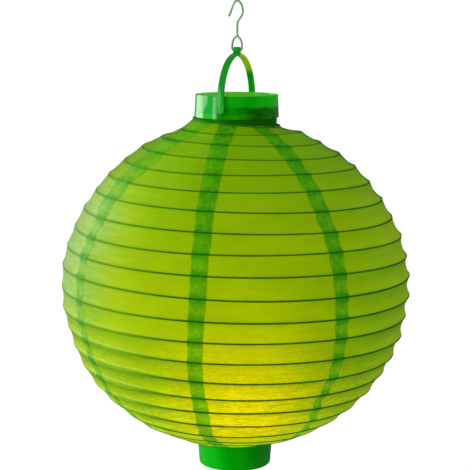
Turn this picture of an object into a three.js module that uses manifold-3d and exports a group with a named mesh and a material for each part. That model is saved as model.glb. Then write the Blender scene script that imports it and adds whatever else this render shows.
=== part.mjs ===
// Solar garden lantern: a fabric globe stretched over one long helical wire rib.
// A round collar on top holds the solar module and the folding carry handle, a wire hook
// hangs from the handle's eye, and a small cup below holds the cell, the switch and the lamp.
// Millimetres, +Z up. The origin is the inside top of the hook, where the lantern hangs.
// Shapes are laid out about the globe's centre and the whole group is then lowered.
import * as THREE from "three";
import { mergeVertices } from "three/addons/utils/BufferGeometryUtils.js";
import Module from "manifold-3d";

const wasm = await Module();
wasm.setup();

// ---------- driving dimensions ----------
const GLOBE_R = 125; // largest radius, at the equator
const GLOBE_FLAT = 0.965; // half height of the globe over its radius
const GLOBE_POW = 1.077; // radius goes as cos(latitude) to this power
const SKIN_T = 0.5; // fabric with its coating and glue line
const SKIN_TOP_LAT = 73.8; // degrees, latitude of the upper opening
const SKIN_BOT_LAT = -71.4; // below this the fabric runs nearly flat in to the lower hoop
const SKIN_BOT_EDGE = [28.2, -112.6];
const LOW_LIFT = 2.3; // how far the base's hoop holds the last turns up
const SKIN_SEGS = 32;
const RIB_R = 0.6; // rib wire radius
const RIB_STEP_LAT = 6.859; // degrees of latitude per turn
const RIB_PHASE = 20.6; // degrees, azimuth where a turn stands at RIB_LAT0
const RIB_LAT0 = 68.03;
const RIB_INSET = 2.6; // rib centre under the fabric's outer face
const RIB_STEPS = 18; // straight lengths per turn

const COLLAR_TOP = 137; // collar rim
const LIP_BOT = 121; // lower edge of the collar's lip
const LIP_R_TOP = 29.2;
const LIP_R_BOT = 30.0;
const NECK_R = 28.6; // neck that the fabric's upper hoop sits round
const NECK_BOT = 111.6;
const FLANGE_R = 30.2; // flange that keeps the hoop on the neck
const COLLAR_IN = 27.6; // bore of the collar
const TOP_RING_R = 29.75;
const TOP_RING_Z = 117.2;
const TOP_RING_TILT = 5.2; // degrees, the hoop sits askew between lip and flange

const PIVOT_Z = 127; // handle pivots, on the collar's sides
const STRAP_IN = 30.6; // handle strap, inner radius
const STRAP_T = 1.8;
const STRAP_W = 4.6;
const ARCH_Z = 133.5; // centre of the handle's half circle
const EYE_Z = 167.9; // hole in the boss on top of the handle
const EYE_R = 1.15;
const BOSS_R = 2.3;

const WIRE_R = 0.8; // hook wire radius
const HOOK_TOP = 202.35; // centre of the wire at the top of the hook
const SEAT_Z = HOOK_TOP - WIRE_R; // inside top of the hook: the origin

const MODULE_R = 27.2; // solar module housing
const MODULE_TOP = 127.0;
const MODULE_BOT = 115.2;
const PANEL = 36; // square solar panel

const BASE_TOP_R = 27.3; // cup, at its shoulder
const BASE_BOT_R = 26.0;
const BASE_SHOULDER = -114.3;
const BASE_BOT = -132.5;
const BASE_FLOOR = -130.3;
const BASE_NECK_R = 25.6;
const BASE_NECK_TOP = -112.2;
const BASE_IN = 24.1;
const BOT_RING_R = 26.75;
const BOT_RING_Z = -113.1;

const CELL_R = 5.25; // AAA rechargeable cell
const CELL_L = 44.5;
const CELL_Z = -124.65;
const CELL_X = 0.4;

// ---------- helpers ----------
const rad = (d) => (d * Math.PI) / 180;

function solid(geometry) {
  const flat = geometry.index ? geometry.toNonIndexed() : geometry;
  const bare = new THREE.BufferGeometry().setAttribute(
    "position",
    flat.getAttribute("position").clone(),
  );
  const g = mergeVertices(bare, 1e-4);
  const index = [];
  for (let i = 0; i < g.index.count; i += 3) {
    const [a, b, c] = [0, 1, 2].map((k) => g.index.getX(i + k));
    if (a !== b && b !== c && a !== c) index.push(a, b, c);
  }
  const make = (tri) =>
    new wasm.Manifold(
      new wasm.Mesh({
        numProp: 3,
        vertProperties: new Float32Array(g.attributes.position.array),
        triVerts: new Uint32Array(tri),
      }),
    );
  const first = make(index);
  if (first.volume() > 0) return first;
  for (let i = 0; i < index.length; i += 3)
    [index[i + 1], index[i + 2]] = [index[i + 2], index[i + 1]];
  return make(index);
}

function geometryOf(s) {
  const m = s.getMesh();
  const v = new Float32Array(m.numVert * 3);
  for (let i = 0; i < m.numVert; i++)
    v.set(m.vertProperties.subarray(i * m.numProp, i * m.numProp + 3), i * 3);
  const g = new THREE.BufferGeometry();
  g.setAttribute("position", new THREE.BufferAttribute(v, 3));
  g.setIndex(new THREE.BufferAttribute(new Uint32Array(m.triVerts), 1));
  g.computeVertexNormals();
  return g;
}

// Closed profile [[r, z], ...] turned about Z.
function turned(profile, segs = 28) {
  const pts = profile.map(([r, z]) => new THREE.Vector2(Math.max(r, 0), z));
  const onAxis = profile[0][0] === 0 && profile[profile.length - 1][0] === 0;
  if (!onAxis) pts.push(pts[0].clone());
  const g = new THREE.LatheGeometry(pts, segs);
  g.rotateX(Math.PI / 2);
  return solid(g);
}
const disc = (r, z0, z1, segs = 20) =>
  turned([[0, z0], [r, z0], [r, z1], [0, z1]], segs);
const tubeRing = (r0, r1, z0, z1, segs = 28) =>
  turned([[r0, z0], [r1, z0], [r1, z1], [r0, z1]], segs);
function block(x0, x1, y0, y1, z0, z1) {
  const g = new THREE.BoxGeometry(x1 - x0, y1 - y0, z1 - z0);
  g.translate((x0 + x1) / 2, (y0 + y1) / 2, (z0 + z1) / 2);
  return solid(g);
}
// Cylinder along X, Y or Z.
function rod(r, length, axis, at, segs = 16) {
  const g = new THREE.CylinderGeometry(r, r, length, segs);
  if (axis === "x") g.rotateZ(Math.PI / 2);
  if (axis === "z") g.rotateX(Math.PI / 2);
  g.translate(...at);
  return solid(g);
}
function hoop(r, wire, segs = 32, sides = 6) {
  return solid(new THREE.TorusGeometry(r, wire, sides, segs));
}
function polygon(r, sides) {
  const s = new THREE.Shape();
  for (let i = 0; i < sides; i++) {
    const a = (2 * Math.PI * i) / sides;
    if (i) s.lineTo(r * Math.cos(a), r * Math.sin(a));
    else s.moveTo(r * Math.cos(a), r * Math.sin(a));
  }
  s.closePath();
  return s;
}
function swept(curve, r, sides, steps) {
  return solid(
    new THREE.ExtrudeGeometry(polygon(r, sides), {
      steps,
      bevelEnabled: false,
      extrudePath: curve,
    }),
  );
}
const at = (s, x, y, z) => s.translate([x, y, z]);

const lantern = new THREE.Group();
function add(name, s, color, roughness, metalness, extra = {}) {
  const mesh = new THREE.Mesh(
    geometryOf(s),
    new THREE.MeshStandardMaterial({ color, roughness, metalness, ...extra }),
  );
  mesh.name = name;
  lantern.add(mesh);
  return mesh;
}

// ---------- globe ----------
function globePoint(latDeg, inset = 0) {
  const a = rad(latDeg);
  const c = Math.cos(a);
  const r = GLOBE_R * Math.pow(c, GLOBE_POW);
  const low = Math.min(Math.max((-42 - latDeg) / 26, 0), 1);
  const z = GLOBE_R * GLOBE_FLAT * Math.sin(a) + LOW_LIFT * low * low * (3 - 2 * low);
  const dr = -GLOBE_R * GLOBE_POW * Math.pow(c, GLOBE_POW - 1) * Math.sin(a);
  const dz = GLOBE_R * GLOBE_FLAT * c;
  const n = Math.hypot(dr, dz);
  return [r - (inset * dz) / n, z + (inset * dr) / n];
}
const SKIN_ROWS = 18;
const skinOut = [];
const skinIn = [];
for (let i = 0; i <= SKIN_ROWS; i++) {
  const lat = SKIN_TOP_LAT + ((SKIN_BOT_LAT - SKIN_TOP_LAT) * i) / SKIN_ROWS;
  skinOut.push(globePoint(lat));
  skinIn.unshift(globePoint(lat, SKIN_T));
}
skinOut.push(SKIN_BOT_EDGE);
skinIn.unshift([SKIN_BOT_EDGE[0], SKIN_BOT_EDGE[1] + SKIN_T]);
add("lantern_skin", turned([...skinOut, ...skinIn], SKIN_SEGS), 0x8fc31f, 0.75, 0);

// One wire wound down the globe, one turn for each RIB_STEP_LAT of latitude.
class RibCurve extends THREE.Curve {
  constructor(latTop, latBot) {
    super();
    this.latTop = latTop;
    this.latBot = latBot;
  }
  getUtoTmapping(u) {
    return u;
  }
  getPoint(t, target = new THREE.Vector3()) {
    const lat = this.latTop + (this.latBot - this.latTop) * t;
    const turn = (RIB_LAT0 - lat) / RIB_STEP_LAT;
    const a = rad(RIB_PHASE) + 2 * Math.PI * turn;
    const [r, z] = globePoint(lat, RIB_INSET);
    return target.set(r * Math.cos(a), r * Math.sin(a), z);
  }
}
const RIB_TOP_LAT = 71.5;
const RIB_BOT_LAT = -70.9;
const ribTurns = (RIB_TOP_LAT - RIB_BOT_LAT) / RIB_STEP_LAT;
add(
  "rib_wire",
  swept(
    new RibCurve(RIB_TOP_LAT, RIB_BOT_LAT),
    RIB_R * Math.sqrt(Math.PI / 2), // square section with the round wire's area
    4,
    Math.round(ribTurns * RIB_STEPS),
  ),
  0x2f5f1f,
  0.5,
  0.6,
);

// Hoops that the fabric's two openings are hemmed round.
const tiltAxis = [Math.cos(rad(RIB_PHASE)), Math.sin(rad(RIB_PHASE))];
{
  const g = new THREE.TorusGeometry(TOP_RING_R, RIB_R, 6, 32);
  g.applyMatrix4(
    new THREE.Matrix4().makeRotationAxis(
      new THREE.Vector3(tiltAxis[0], tiltAxis[1], 0),
      rad(-TOP_RING_TILT),
    ),
  );
  g.translate(0, 0, TOP_RING_Z);
  add("top_hoop", solid(g), 0x2f5f1f, 0.5, 0.6);
}
add("bottom_hoop", at(hoop(BOT_RING_R, RIB_R), 0, 0, BOT_RING_Z), 0x2f5f1f, 0.5, 0.6);

// ---------- collar ----------
let collar = turned(
  [
    [24.6, NECK_BOT],
    [FLANGE_R, NECK_BOT],
    [FLANGE_R, NECK_BOT + 1.2],
    [NECK_R, NECK_BOT + 1.5],
    [NECK_R, LIP_BOT],
    [LIP_R_BOT - 0.3, LIP_BOT],
    [LIP_R_BOT, LIP_BOT + 0.4],
    [LIP_R_TOP + 0.05, COLLAR_TOP - 0.6],
    [LIP_R_TOP - 0.5, COLLAR_TOP],
    [COLLAR_IN + 0.3, COLLAR_TOP],
    [COLLAR_IN, COLLAR_TOP - 0.4],
    [COLLAR_IN, MODULE_TOP + 1.4],
    [COLLAR_IN - 0.65, MODULE_TOP + 0.7],
    [COLLAR_IN, MODULE_TOP + 0.3],
    [COLLAR_IN, NECK_BOT + 1.9],
    [24.6, NECK_BOT + 1.9],
  ],
  32,
);
for (const s of [-1, 1])
  collar = collar.subtract(rod(1.85, 8, "x", [s * 29, 0, PIVOT_Z], 16));
add("top_collar", collar, 0x0c8a1e, 0.18, 0, { transparent: true, opacity: 0.8 });

// ---------- carry handle ----------
{
  const strap = new THREE.Shape();
  const ro = STRAP_IN + STRAP_T;
  strap.moveTo(ro, PIVOT_Z);
  strap.lineTo(ro, ARCH_Z);
  strap.absarc(0, ARCH_Z, ro, 0, Math.PI, false);
  strap.lineTo(-ro, PIVOT_Z);
  strap.lineTo(-STRAP_IN, PIVOT_Z);
  strap.lineTo(-STRAP_IN, ARCH_Z);
  strap.absarc(0, ARCH_Z, STRAP_IN, Math.PI, 0, true);
  strap.lineTo(STRAP_IN, PIVOT_Z);
  strap.closePath();
  const g = new THREE.ExtrudeGeometry(strap, {
    depth: STRAP_W,
    bevelEnabled: false,
    curveSegments: 22,
  });
  g.rotateX(Math.PI / 2); // shape's Y becomes Z, depth runs along -Y
  g.translate(0, STRAP_W / 2, 0);
  let handle = solid(g);
  for (const s of [-1, 1]) {
    handle = handle
      .add(rod(STRAP_W / 2 + 0.05, STRAP_T, "x", [s * (STRAP_IN + STRAP_T / 2), 0, PIVOT_Z], 20))
      .add(rod(1.5, 3.1, "x", [s * (STRAP_IN - 1.35), 0, PIVOT_Z], 14));
  }
  handle = handle
    .add(rod(BOSS_R, STRAP_W, "y", [0, 0, EYE_Z], 20))
    .add(block(-1.9, 1.9, -STRAP_W / 2, STRAP_W / 2, ARCH_Z + STRAP_IN + 0.6, EYE_Z))
    .subtract(rod(EYE_R, 12, "y", [0, 0, EYE_Z], 12));
  add("carry_handle", handle, 0x0c8a1e, 0.22, 0);
}

// ---------- hook ----------
{
  const H = HOOK_TOP;
  const yz = [
    [-6.3, H - 10.8], [-5.3, H - 9.0], [-4.45, H - 6.6], [-3.5, H - 4.2], [-2.4, H - 1.9],
    [-1.2, H - 0.4], [0, H], [1.2, H - 0.4], [2.45, H - 1.6], [3.5, H - 3.6],
    [4.1, H - 5.9], [4.15, H - 8.0], [3.6, H - 10.0], [2.4, H - 11.8], [1.15, H - 13.5],
    [0.4, H - 15.1], [0.15, H - 17.1], [0.1, H - 20.1], [0.1, H - 22.7], [0.3, H - 24.5],
    [1.35, H - 25.6], [2.55, H - 26.9], [3.3, H - 28.7], [3.65, H - 30.7], [3.72, H - 32.5],
    [3.58, H - 33.6], [3.08, H - 34.2], [2.35, EYE_Z], [1.1, EYE_Z], [0, EYE_Z], [-1.1, EYE_Z],
    [-2.35, EYE_Z], [-3.08, H - 34.2], [-3.58, H - 33.6], [-3.72, H - 32.5], [-3.65, H - 30.7],
    [-3.3, H - 28.7], [-2.55, H - 26.9], [-1.35, H - 25.6], [-0.4, H - 24.8],
  ];
  const wire = (points, steps) => {
    const curve = new THREE.CatmullRomCurve3(
      points.map(([y, z]) => new THREE.Vector3(0, y, z)),
      false,
      "centripetal",
    );
    curve.arcLengthDivisions = 600;
    return swept(curve, WIRE_R, 8, steps);
  };
  const through = yz.findIndex(([y, z]) => y === 0 && z === EYE_Z);
  // The tail comes back up the loop's other side and is welded to the stem.
  const stem = wire(yz.slice(0, through + 1), 54);
  const tail = wire([[0.6, EYE_Z], ...yz.slice(through)], 18);
  add("hanging_hook", stem.add(tail), 0x9aa49a, 0.3, 1);
}

// ---------- solar module ----------
const screwAngles = [90, 210, 330];
let housing = turned(
  [
    [0, 123.4], [25.6, 123.4], [25.6, MODULE_BOT], [MODULE_R, MODULE_BOT],
    [MODULE_R, MODULE_TOP - 0.4], [MODULE_R - 0.4, MODULE_TOP], [0, MODULE_TOP],
  ],
  28,
).subtract(
  block(-PANEL / 2 - 0.3, PANEL / 2 + 0.3, -PANEL / 2 - 0.3, PANEL / 2 + 0.3, 124.6, 130),
);
for (const a of screwAngles) {
  const [x, y] = [21.5 * Math.cos(rad(a)), 21.5 * Math.sin(rad(a))];
  housing = housing
    .add(at(disc(2.7, 115.6, 124.0, 14), x, y, 0))
    .subtract(at(disc(1.3, 110, 121.5, 12), x, y, 0));
}
housing = housing.subtract(at(disc(1.6, 120, 128, 12), 13, 0, 0));
add("module_housing", housing, 0x0b6e1a, 0.35, 0);
add("solar_backing", block(-18, 18, -18, 18, 124.75, 125.75), 0xe9ece6, 0.6, 0);
add("solar_cells", block(-17, 17, -17, 17, 125.85, 126.15), 0x101c3a, 0.2, 0.2);
add("panel_window", block(-18, 18, -18, 18, 126.3, 127.2), 0xdfe9ee, 0.05, 0, {
  transparent: true,
  opacity: 0.35,
});
let floor = disc(26.9, 113.7, 115.0, 28);
for (const a of screwAngles) {
  const [x, y] = [21.5 * Math.cos(rad(a)), 21.5 * Math.sin(rad(a))];
  floor = floor.subtract(at(disc(1.4, 110, 118, 12), x, y, 0));
}
floor = floor.subtract(disc(3.3, 110, 118, 16));
add("module_floor", floor, 0x1a1d1a, 0.5, 0);
add("module_seal", tubeRing(27.0, 27.35, 113.75, 114.9, 28), 0x20241f, 0.8, 0);
const screwProfile = (z, len) => [
  [0, z], [1.9, z], [1.9, z + 0.8], [1.0, z + 1.1], [1.0, z + len - 0.8], [0.2, z + len], [0, z + len],
];
screwAngles.forEach((a, i) => {
  const s = turned(screwProfile(112.3, 8.0), 12);
  add(
    `module_screw_${i + 1}`,
    at(s, 21.5 * Math.cos(rad(a)), 21.5 * Math.sin(rad(a)), 0),
    0xb9bdb8, 0.3, 1,
  );
});
add(
  "upper_grommet",
  turned([[1.45, 112.6], [4.3, 112.6], [4.3, 113.4], [2.9, 113.6], [2.9, 115.1], [4.1, 115.3], [4.1, 116.1], [1.45, 116.1]], 16),
  0x161816, 0.8, 0,
);

// ---------- lead from the module down to the base ----------
{
  const pts = [
    [0, 0, 117.5], [0, 0, 113], [0, 0, 108], [0.4, 0.2, 96], [3.5, 2.5, 70], [7.5, 6.5, 35], [6.0, 9.5, 0],
    [-1.0, 9.0, -35], [-9.5, 5.5, -68], [-16.0, 1.5, -92], [-18.6, 0, -105], [-18.8, 0, -111],
    [-18.8, 0, -115], [-18.8, 0, -118],
  ];
  const curve = new THREE.CatmullRomCurve3(pts.map((p) => new THREE.Vector3(...p)), false, "centripetal");
  curve.arcLengthDivisions = 600;
  add("lamp_lead", swept(curve, 1.1, 6, 38), 0x151515, 0.55, 0);
}

// ---------- base ----------
const bossAt = [
  [12.5, 14.9],
  [-12.5, 14.9],
  [0, -19.2],
];
const DOOR_BOSS = [0, 10.2];
let cup = turned(
  [
    [0, BASE_BOT], [BASE_BOT_R - 0.9, BASE_BOT], [BASE_BOT_R - 0.2, BASE_BOT + 0.35], [BASE_BOT_R, BASE_BOT + 1.0],
    [BASE_TOP_R, BASE_SHOULDER - 0.4], [BASE_TOP_R - 0.4, BASE_SHOULDER],
    [BASE_NECK_R, BASE_SHOULDER], [BASE_NECK_R, BASE_NECK_TOP], [BASE_IN, BASE_NECK_TOP],
    [BASE_IN, BASE_FLOOR], [0, BASE_FLOOR],
  ],
  32,
);
for (const [x, y] of bossAt)
  cup = cup
    .add(at(disc(2.7, BASE_FLOOR - 0.4, BASE_NECK_TOP - 1.9, 14), x, y, 0))
    .subtract(at(disc(1.3, -128, BASE_NECK_TOP - 1, 12), x, y, 0));
cup = cup
  .add(at(disc(2.9, BASE_FLOOR - 0.4, -123.8, 14), DOOR_BOSS[0], DOOR_BOSS[1], 0))
  .subtract(at(disc(1.3, -134, -123, 12), DOOR_BOSS[0], DOOR_BOSS[1], 0))
  .subtract(block(-22.9, 22.9, -5.7, 5.7, -134, BASE_FLOOR + 2)) // way in for the cell
  .subtract(block(-23.9, 23.9, -6.9, 6.9, -134, -131.1)) // seat of the door
  .subtract(block(-4.4, 4.4, 6.0, 14.2, -134, -131.1)) // seat of the door's tab
  .subtract(block(4.6, 17.4, -16.6, -9.8, -134, -131.7)) // scoop round the switch
  .subtract(block(6.6, 15.4, -14.7, -11.7, -134, BASE_FLOOR + 1)); // slot for the switch
add("base_cup", cup, 0x0a8f1c, 0.3, 0);

let door = block(-23.6, 23.6, -6.6, 6.6, -132.35, -131.35)
  .add(block(-4.1, 4.1, 6.0, 13.9, -132.35, -131.35));
for (const s of [-1, 1]) door = door.add(block(s * 20 - 1, s * 20 + 1, -5.2, 5.2, -131.5, -130.6));
door = door.subtract(
  at(turned([[0, -133], [2.7, -133], [2.6, -132.35], [1.4, -131.2], [1.4, -130.5], [0, -130.5]], 16), ...DOOR_BOSS, 0),
);
add("battery_door", door, 0x0a8f1c, 0.35, 0);
add(
  "door_screw",
  at(
    turned([[0, -132.3], [2.2, -132.3], [1.0, -131.2], [1.0, -125.4], [0.2, -124.6], [0, -124.6]], 14),
    ...DOOR_BOSS, 0,
  ),
  0xb9bdb8, 0.3, 1,
);

// Rechargeable cell with its raised positive end, lying along X.
{
  const g = new THREE.LatheGeometry(
    [[0, 0], [CELL_R - 0.5, 0], [CELL_R, 0.5], [CELL_R, CELL_L - 1.8], [CELL_R - 0.8, CELL_L - 1.0], [1.9, CELL_L - 1.0], [1.9, CELL_L], [0, CELL_L]]
      .map(([r, y]) => new THREE.Vector2(r, y)),
    24,
  );
  g.rotateZ(-Math.PI / 2); // Y becomes X
  g.translate(CELL_X - CELL_L / 2, 0, CELL_Z);
  add("battery_cell", solid(g), 0x2d6fb5, 0.4, 0.1);
}
// Cone spring on the negative end.
{
  class Coil extends THREE.Curve {
    getPoint(t, target = new THREE.Vector3()) {
      const a = 2 * Math.PI * 2.25 * t;
      const r = 3.4 - 1.7 * t;
      return target.set(-23.1 + 0.75 * t - 0.0, r * Math.cos(a), CELL_Z + r * Math.sin(a));
    }
  }
  const g = swept(new Coil(), 0.2, 4, 26);
  add("battery_spring", g, 0xc9ccc6, 0.3, 1);
}
add("contact_negative", block(-23.72, -23.42, -3.6, 3.6, CELL_Z - 4.0, CELL_Z + 4.0), 0xc9ccc6, 0.3, 1);
add("contact_positive", block(22.85, 23.15, -3.6, 3.6, CELL_Z - 4.0, CELL_Z + 4.0), 0xc9ccc6, 0.3, 1);

// Slide switch and its knob.
add(
  "switch_body",
  block(6.2, 15.8, -15.3, -11.1, BASE_FLOOR + 0.4, BASE_FLOOR + 4.2),
  0xa8aca6, 0.35, 0.8,
);
add("switch_knob", block(7.2, 11.2, -14.4, -12.0, -132.2, BASE_FLOOR + 0.2), 0x101210, 0.5, 0);

// Lamp deck, board, LED and diffuser, laid out for a neck that ends at -114.
const onNeck = (s) => at(s, 0, 0, BASE_NECK_TOP + 114);
let deck = turned(
  [[0, -115.2], [23.7, -115.2], [23.7, -113.6], [27.7, -113.6], [27.9, -113.4], [27.7, -112.3], [0, -112.3]],
  28,
).subtract(disc(3.2, -120, -110, 16));
for (const [x, y] of bossAt) deck = deck.subtract(at(disc(1.4, -120, -110, 12), x, y, 0));
for (const s of [-1, 1]) deck = deck.add(at(disc(1.7, -116.95, -115.0, 12), s * 12, 0, 0));
deck = deck.subtract(at(disc(2.6, -120, -110, 14), -18.8, 0, 0));
add("lamp_deck", onNeck(deck), 0x0b6e1a, 0.4, 0);
bossAt.forEach(([x, y], i) => {
  const p = [[0, -110.9], [1.9, -110.9], [1.9, -111.7], [1.0, -112.0], [1.0, -120.2], [0.2, -121.0], [0, -121.0]].reverse();
  add(`deck_screw_${i + 1}`, onNeck(at(turned(p, 12), x, y, 0)), 0xb9bdb8, 0.3, 1);
});
add(
  "lower_grommet",
  onNeck(at(turned([[1.45, -116.4], [3.6, -116.4], [3.6, -115.6], [2.2, -115.4], [2.2, -112.1], [3.6, -111.9], [3.6, -111.1], [1.45, -111.1]], 16), -18.8, 0, 0)),
  0x161816, 0.8, 0,
);
add("led_board", onNeck(disc(15.6, -118.3, -117.1, 28)), 0x0d5a2a, 0.5, 0);
add("driver_chip", onNeck(block(-2.6, 2.6, -12.4, -8.6, -119.9, -118.4)), 0x141414, 0.4, 0);
add(
  "led",
  onNeck(turned([[0, -117.0], [2.9, -117.0], [2.9, -116.1], [2.5, -116.0], [2.5, -111.0], [2.2, -109.9], [1.3, -109.0], [0, -108.6]], 16)),
  0xfff3c8, 0.15, 0,
);
add(
  "lamp_diffuser",
  onNeck(turned(
    [
      [8.3, -112.1], [11.0, -112.1], [11.0, -111.2], [9.6, -111.0], [9.5, -103.5], [8.8, -100.2], [7.0, -97.4],
      [4.2, -95.6], [0, -95.0], [0, -96.2], [3.8, -96.8], [6.1, -98.3], [7.7, -100.7], [8.3, -103.6],
    ],
    20,
  )),
  0xf5f7ee, 0.5, 0,
);

lantern.position.set(0, 0, -SEAT_Z);
const root = new THREE.Group();
root.add(lantern);
export default root;
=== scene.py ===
import math

import bmesh
import bpy
import numpy as np
from mathutils import Matrix, Vector, noise


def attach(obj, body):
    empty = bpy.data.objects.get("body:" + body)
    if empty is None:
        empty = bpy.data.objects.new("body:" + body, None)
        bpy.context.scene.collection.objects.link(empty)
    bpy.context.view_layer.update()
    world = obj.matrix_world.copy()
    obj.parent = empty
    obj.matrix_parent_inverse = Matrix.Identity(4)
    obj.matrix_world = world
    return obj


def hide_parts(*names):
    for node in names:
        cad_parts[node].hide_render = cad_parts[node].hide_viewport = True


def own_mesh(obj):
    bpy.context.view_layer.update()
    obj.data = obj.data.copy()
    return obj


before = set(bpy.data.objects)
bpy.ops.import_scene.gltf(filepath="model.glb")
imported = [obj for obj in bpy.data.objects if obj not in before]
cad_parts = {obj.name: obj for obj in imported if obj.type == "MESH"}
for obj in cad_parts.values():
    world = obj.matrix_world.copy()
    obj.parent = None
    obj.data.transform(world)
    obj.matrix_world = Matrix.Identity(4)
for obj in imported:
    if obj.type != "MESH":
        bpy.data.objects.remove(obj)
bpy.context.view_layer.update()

# Lengths below are millimetres about the globe's centre; the row's origin is the inside top of the hook.
SEAT = 201.55
MM = 0.001


def P(x, y, z):
    return Vector((x * MM, y * MM, (z - SEAT) * MM))


def lin(r, g, b):
    """sRGB 0..255 to linear."""
    out = []
    for c in (r, g, b):
        c /= 255
        out.append(c / 12.92 if c <= 0.04045 else ((c + 0.055) / 1.055) ** 2.4)
    return (*out, 1.0)


# ------------------------------------------------------------------ node helpers
class Mat:
    """A small builder for one procedural material."""

    def __init__(self, name):
        self.m = bpy.data.materials.new(name)
        self.m.use_nodes = True
        self.nt = self.m.node_tree
        self.nt.nodes.clear()
        self.out = self.nt.nodes.new("ShaderNodeOutputMaterial")

    def n(self, kind, **kw):
        node = self.nt.nodes.new(kind)
        for k, v in kw.items():
            setattr(node, k, v)
        return node

    def put(self, socket, value):
        if hasattr(value, "is_output") or isinstance(value, bpy.types.NodeSocket):
            self.nt.links.new(value, socket)
        else:
            socket.default_value = value

    def math(self, op, a, b=None, c=None, clamp=False):
        node = self.n("ShaderNodeMath", operation=op, use_clamp=clamp)
        self.put(node.inputs[0], a)
        if b is not None:
            self.put(node.inputs[1], b)
        if c is not None:
            self.put(node.inputs[2], c)
        return node.outputs[0]

    def ramp(self, x, x0, x1, y0=0.0, y1=1.0, smooth=True):
        node = self.n("ShaderNodeMapRange", interpolation_type="SMOOTHSTEP" if smooth else "LINEAR")
        for s, v in zip(node.inputs[:5], (x, x0, x1, y0, y1)):
            self.put(s, v)
        return node.outputs[0]

    def mix(self, f, a, b, blend="MIX"):
        node = self.n("ShaderNodeMix", data_type="RGBA", blend_type=blend)
        self.put(node.inputs[0], f)
        self.put(node.inputs[6], a)
        self.put(node.inputs[7], b)
        return node.outputs[2]

    def attr(self, name):
        return self.n("ShaderNodeAttribute", attribute_name=name).outputs["Fac"]

    def obj(self, scale=(1, 1, 1), rot=(0, 0, 0)):
        tc = self.n("ShaderNodeTexCoord")
        mp = self.n("ShaderNodeMapping")
        mp.inputs["Scale"].default_value = scale
        mp.inputs["Rotation"].default_value = rot
        self.nt.links.new(tc.outputs["Object"], mp.inputs["Vector"])
        return mp.outputs[0]

    def noise(self, vec, scale, detail=3.0, rough=0.55, dist=0.0):
        t = self.n("ShaderNodeTexNoise")
        self.put(t.inputs["Vector"], vec)
        t.inputs["Scale"].default_value = scale
        t.inputs["Detail"].default_value = detail
        t.inputs["Roughness"].default_value = rough
        t.inputs["Distortion"].default_value = dist
        return t.outputs["Fac"]

    def wave(self, vec, scale, dist=0.0, direction="X", profile="SIN"):
        t = self.n("ShaderNodeTexWave", wave_type="BANDS", bands_direction=direction, wave_profile=profile)
        self.put(t.inputs["Vector"], vec)
        t.inputs["Scale"].default_value = scale
        t.inputs["Distortion"].default_value = dist
        return t.outputs["Fac"]

    def sep(self, vec):
        s = self.n("ShaderNodeSeparateXYZ")
        self.put(s.inputs[0], vec)
        return s.outputs

    def bump(self, height, strength=0.3, distance=0.001, normal=None):
        b = self.n("ShaderNodeBump")
        b.inputs["Strength"].default_value = strength
        b.inputs["Distance"].default_value = distance
        self.put(b.inputs["Height"], height)
        if normal is not None:
            self.put(b.inputs["Normal"], normal)
        return b.outputs[0]

    def principled(self, **kw):
        p = self.n("ShaderNodeBsdfPrincipled")
        for k, v in kw.items():
            self.put(p.inputs[k.replace("_", " ")], v)
        return p

    def done(self, shader):
        self.nt.links.new(shader, self.out.inputs["Surface"])
        return self.m


# ------------------------------------------------------------------ mesh helpers
def make(name, verts, faces, material, body, smooth=True, replaces=()):
    me = bpy.data.meshes.new(name)
    me.from_pydata([tuple(v) for v in verts], [], [tuple(f) for f in faces])
    me.validate()
    me.update()
    o = bpy.data.objects.new(name, me)
    bpy.context.scene.collection.objects.link(o)
    if smooth:
        me.polygons.foreach_set("use_smooth", [True] * len(me.polygons))
    me.materials.append(material)
    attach(o, body)
    if replaces:
        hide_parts(*replaces)
    return o


def lathe(profile, segs, closed=True, a0=0.0):
    """Rings of a profile [(r, z)...]; r == 0 ends are closed by a single point."""
    verts, rings = [], []
    for r, z in profile:
        if r < 1e-6:
            rings.append([len(verts)])
            verts.append(P(0, 0, z))
        else:
            ring = []
            for i in range(segs):
                a = a0 + 2 * math.pi * i / segs
                ring.append(len(verts))
                verts.append(P(r * math.cos(a), r * math.sin(a), z))
            rings.append(ring)
    faces = []
    pairs = list(zip(rings, rings[1:]))
    if closed:
        pairs.append((rings[-1], rings[0]))
    for a, b in pairs:
        for i in range(segs):
            j = (i + 1) % segs
            if len(a) == 1 and len(b) == 1:
                break
            if len(a) == 1:
                faces.append((a[0], b[i], b[j]))
            elif len(b) == 1:
                faces.append((a[i], b[0], a[j]))
            else:
                faces.append((a[i], b[i], b[j], a[j]))
    return verts, faces


def rounded(profile, radii, steps=4):
    """Rounds the corners of a closed (r, z) profile: radii is one value or one per point."""
    n = len(profile)
    if not isinstance(radii, (list, tuple)):
        radii = [radii] * n
    out = []
    for i, (p, rad) in enumerate(zip(profile, radii)):
        a, b = np.array(profile[i - 1], float), np.array(profile[(i + 1) % n], float)
        p = np.array(p, float)
        if rad <= 0 or (p[0] < 1e-6):
            out.append(tuple(p))
            continue
        u, v = a - p, b - p
        lu, lv = np.linalg.norm(u), np.linalg.norm(v)
        u, v = u / lu, v / lv
        d = min(rad, lu * 0.45, lv * 0.45)
        s, e = p + u * d, p + v * d
        for k in range(steps + 1):
            t = k / steps
            out.append(tuple((1 - t) ** 2 * s + 2 * t * (1 - t) * p + t * t * e))
    return out


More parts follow.
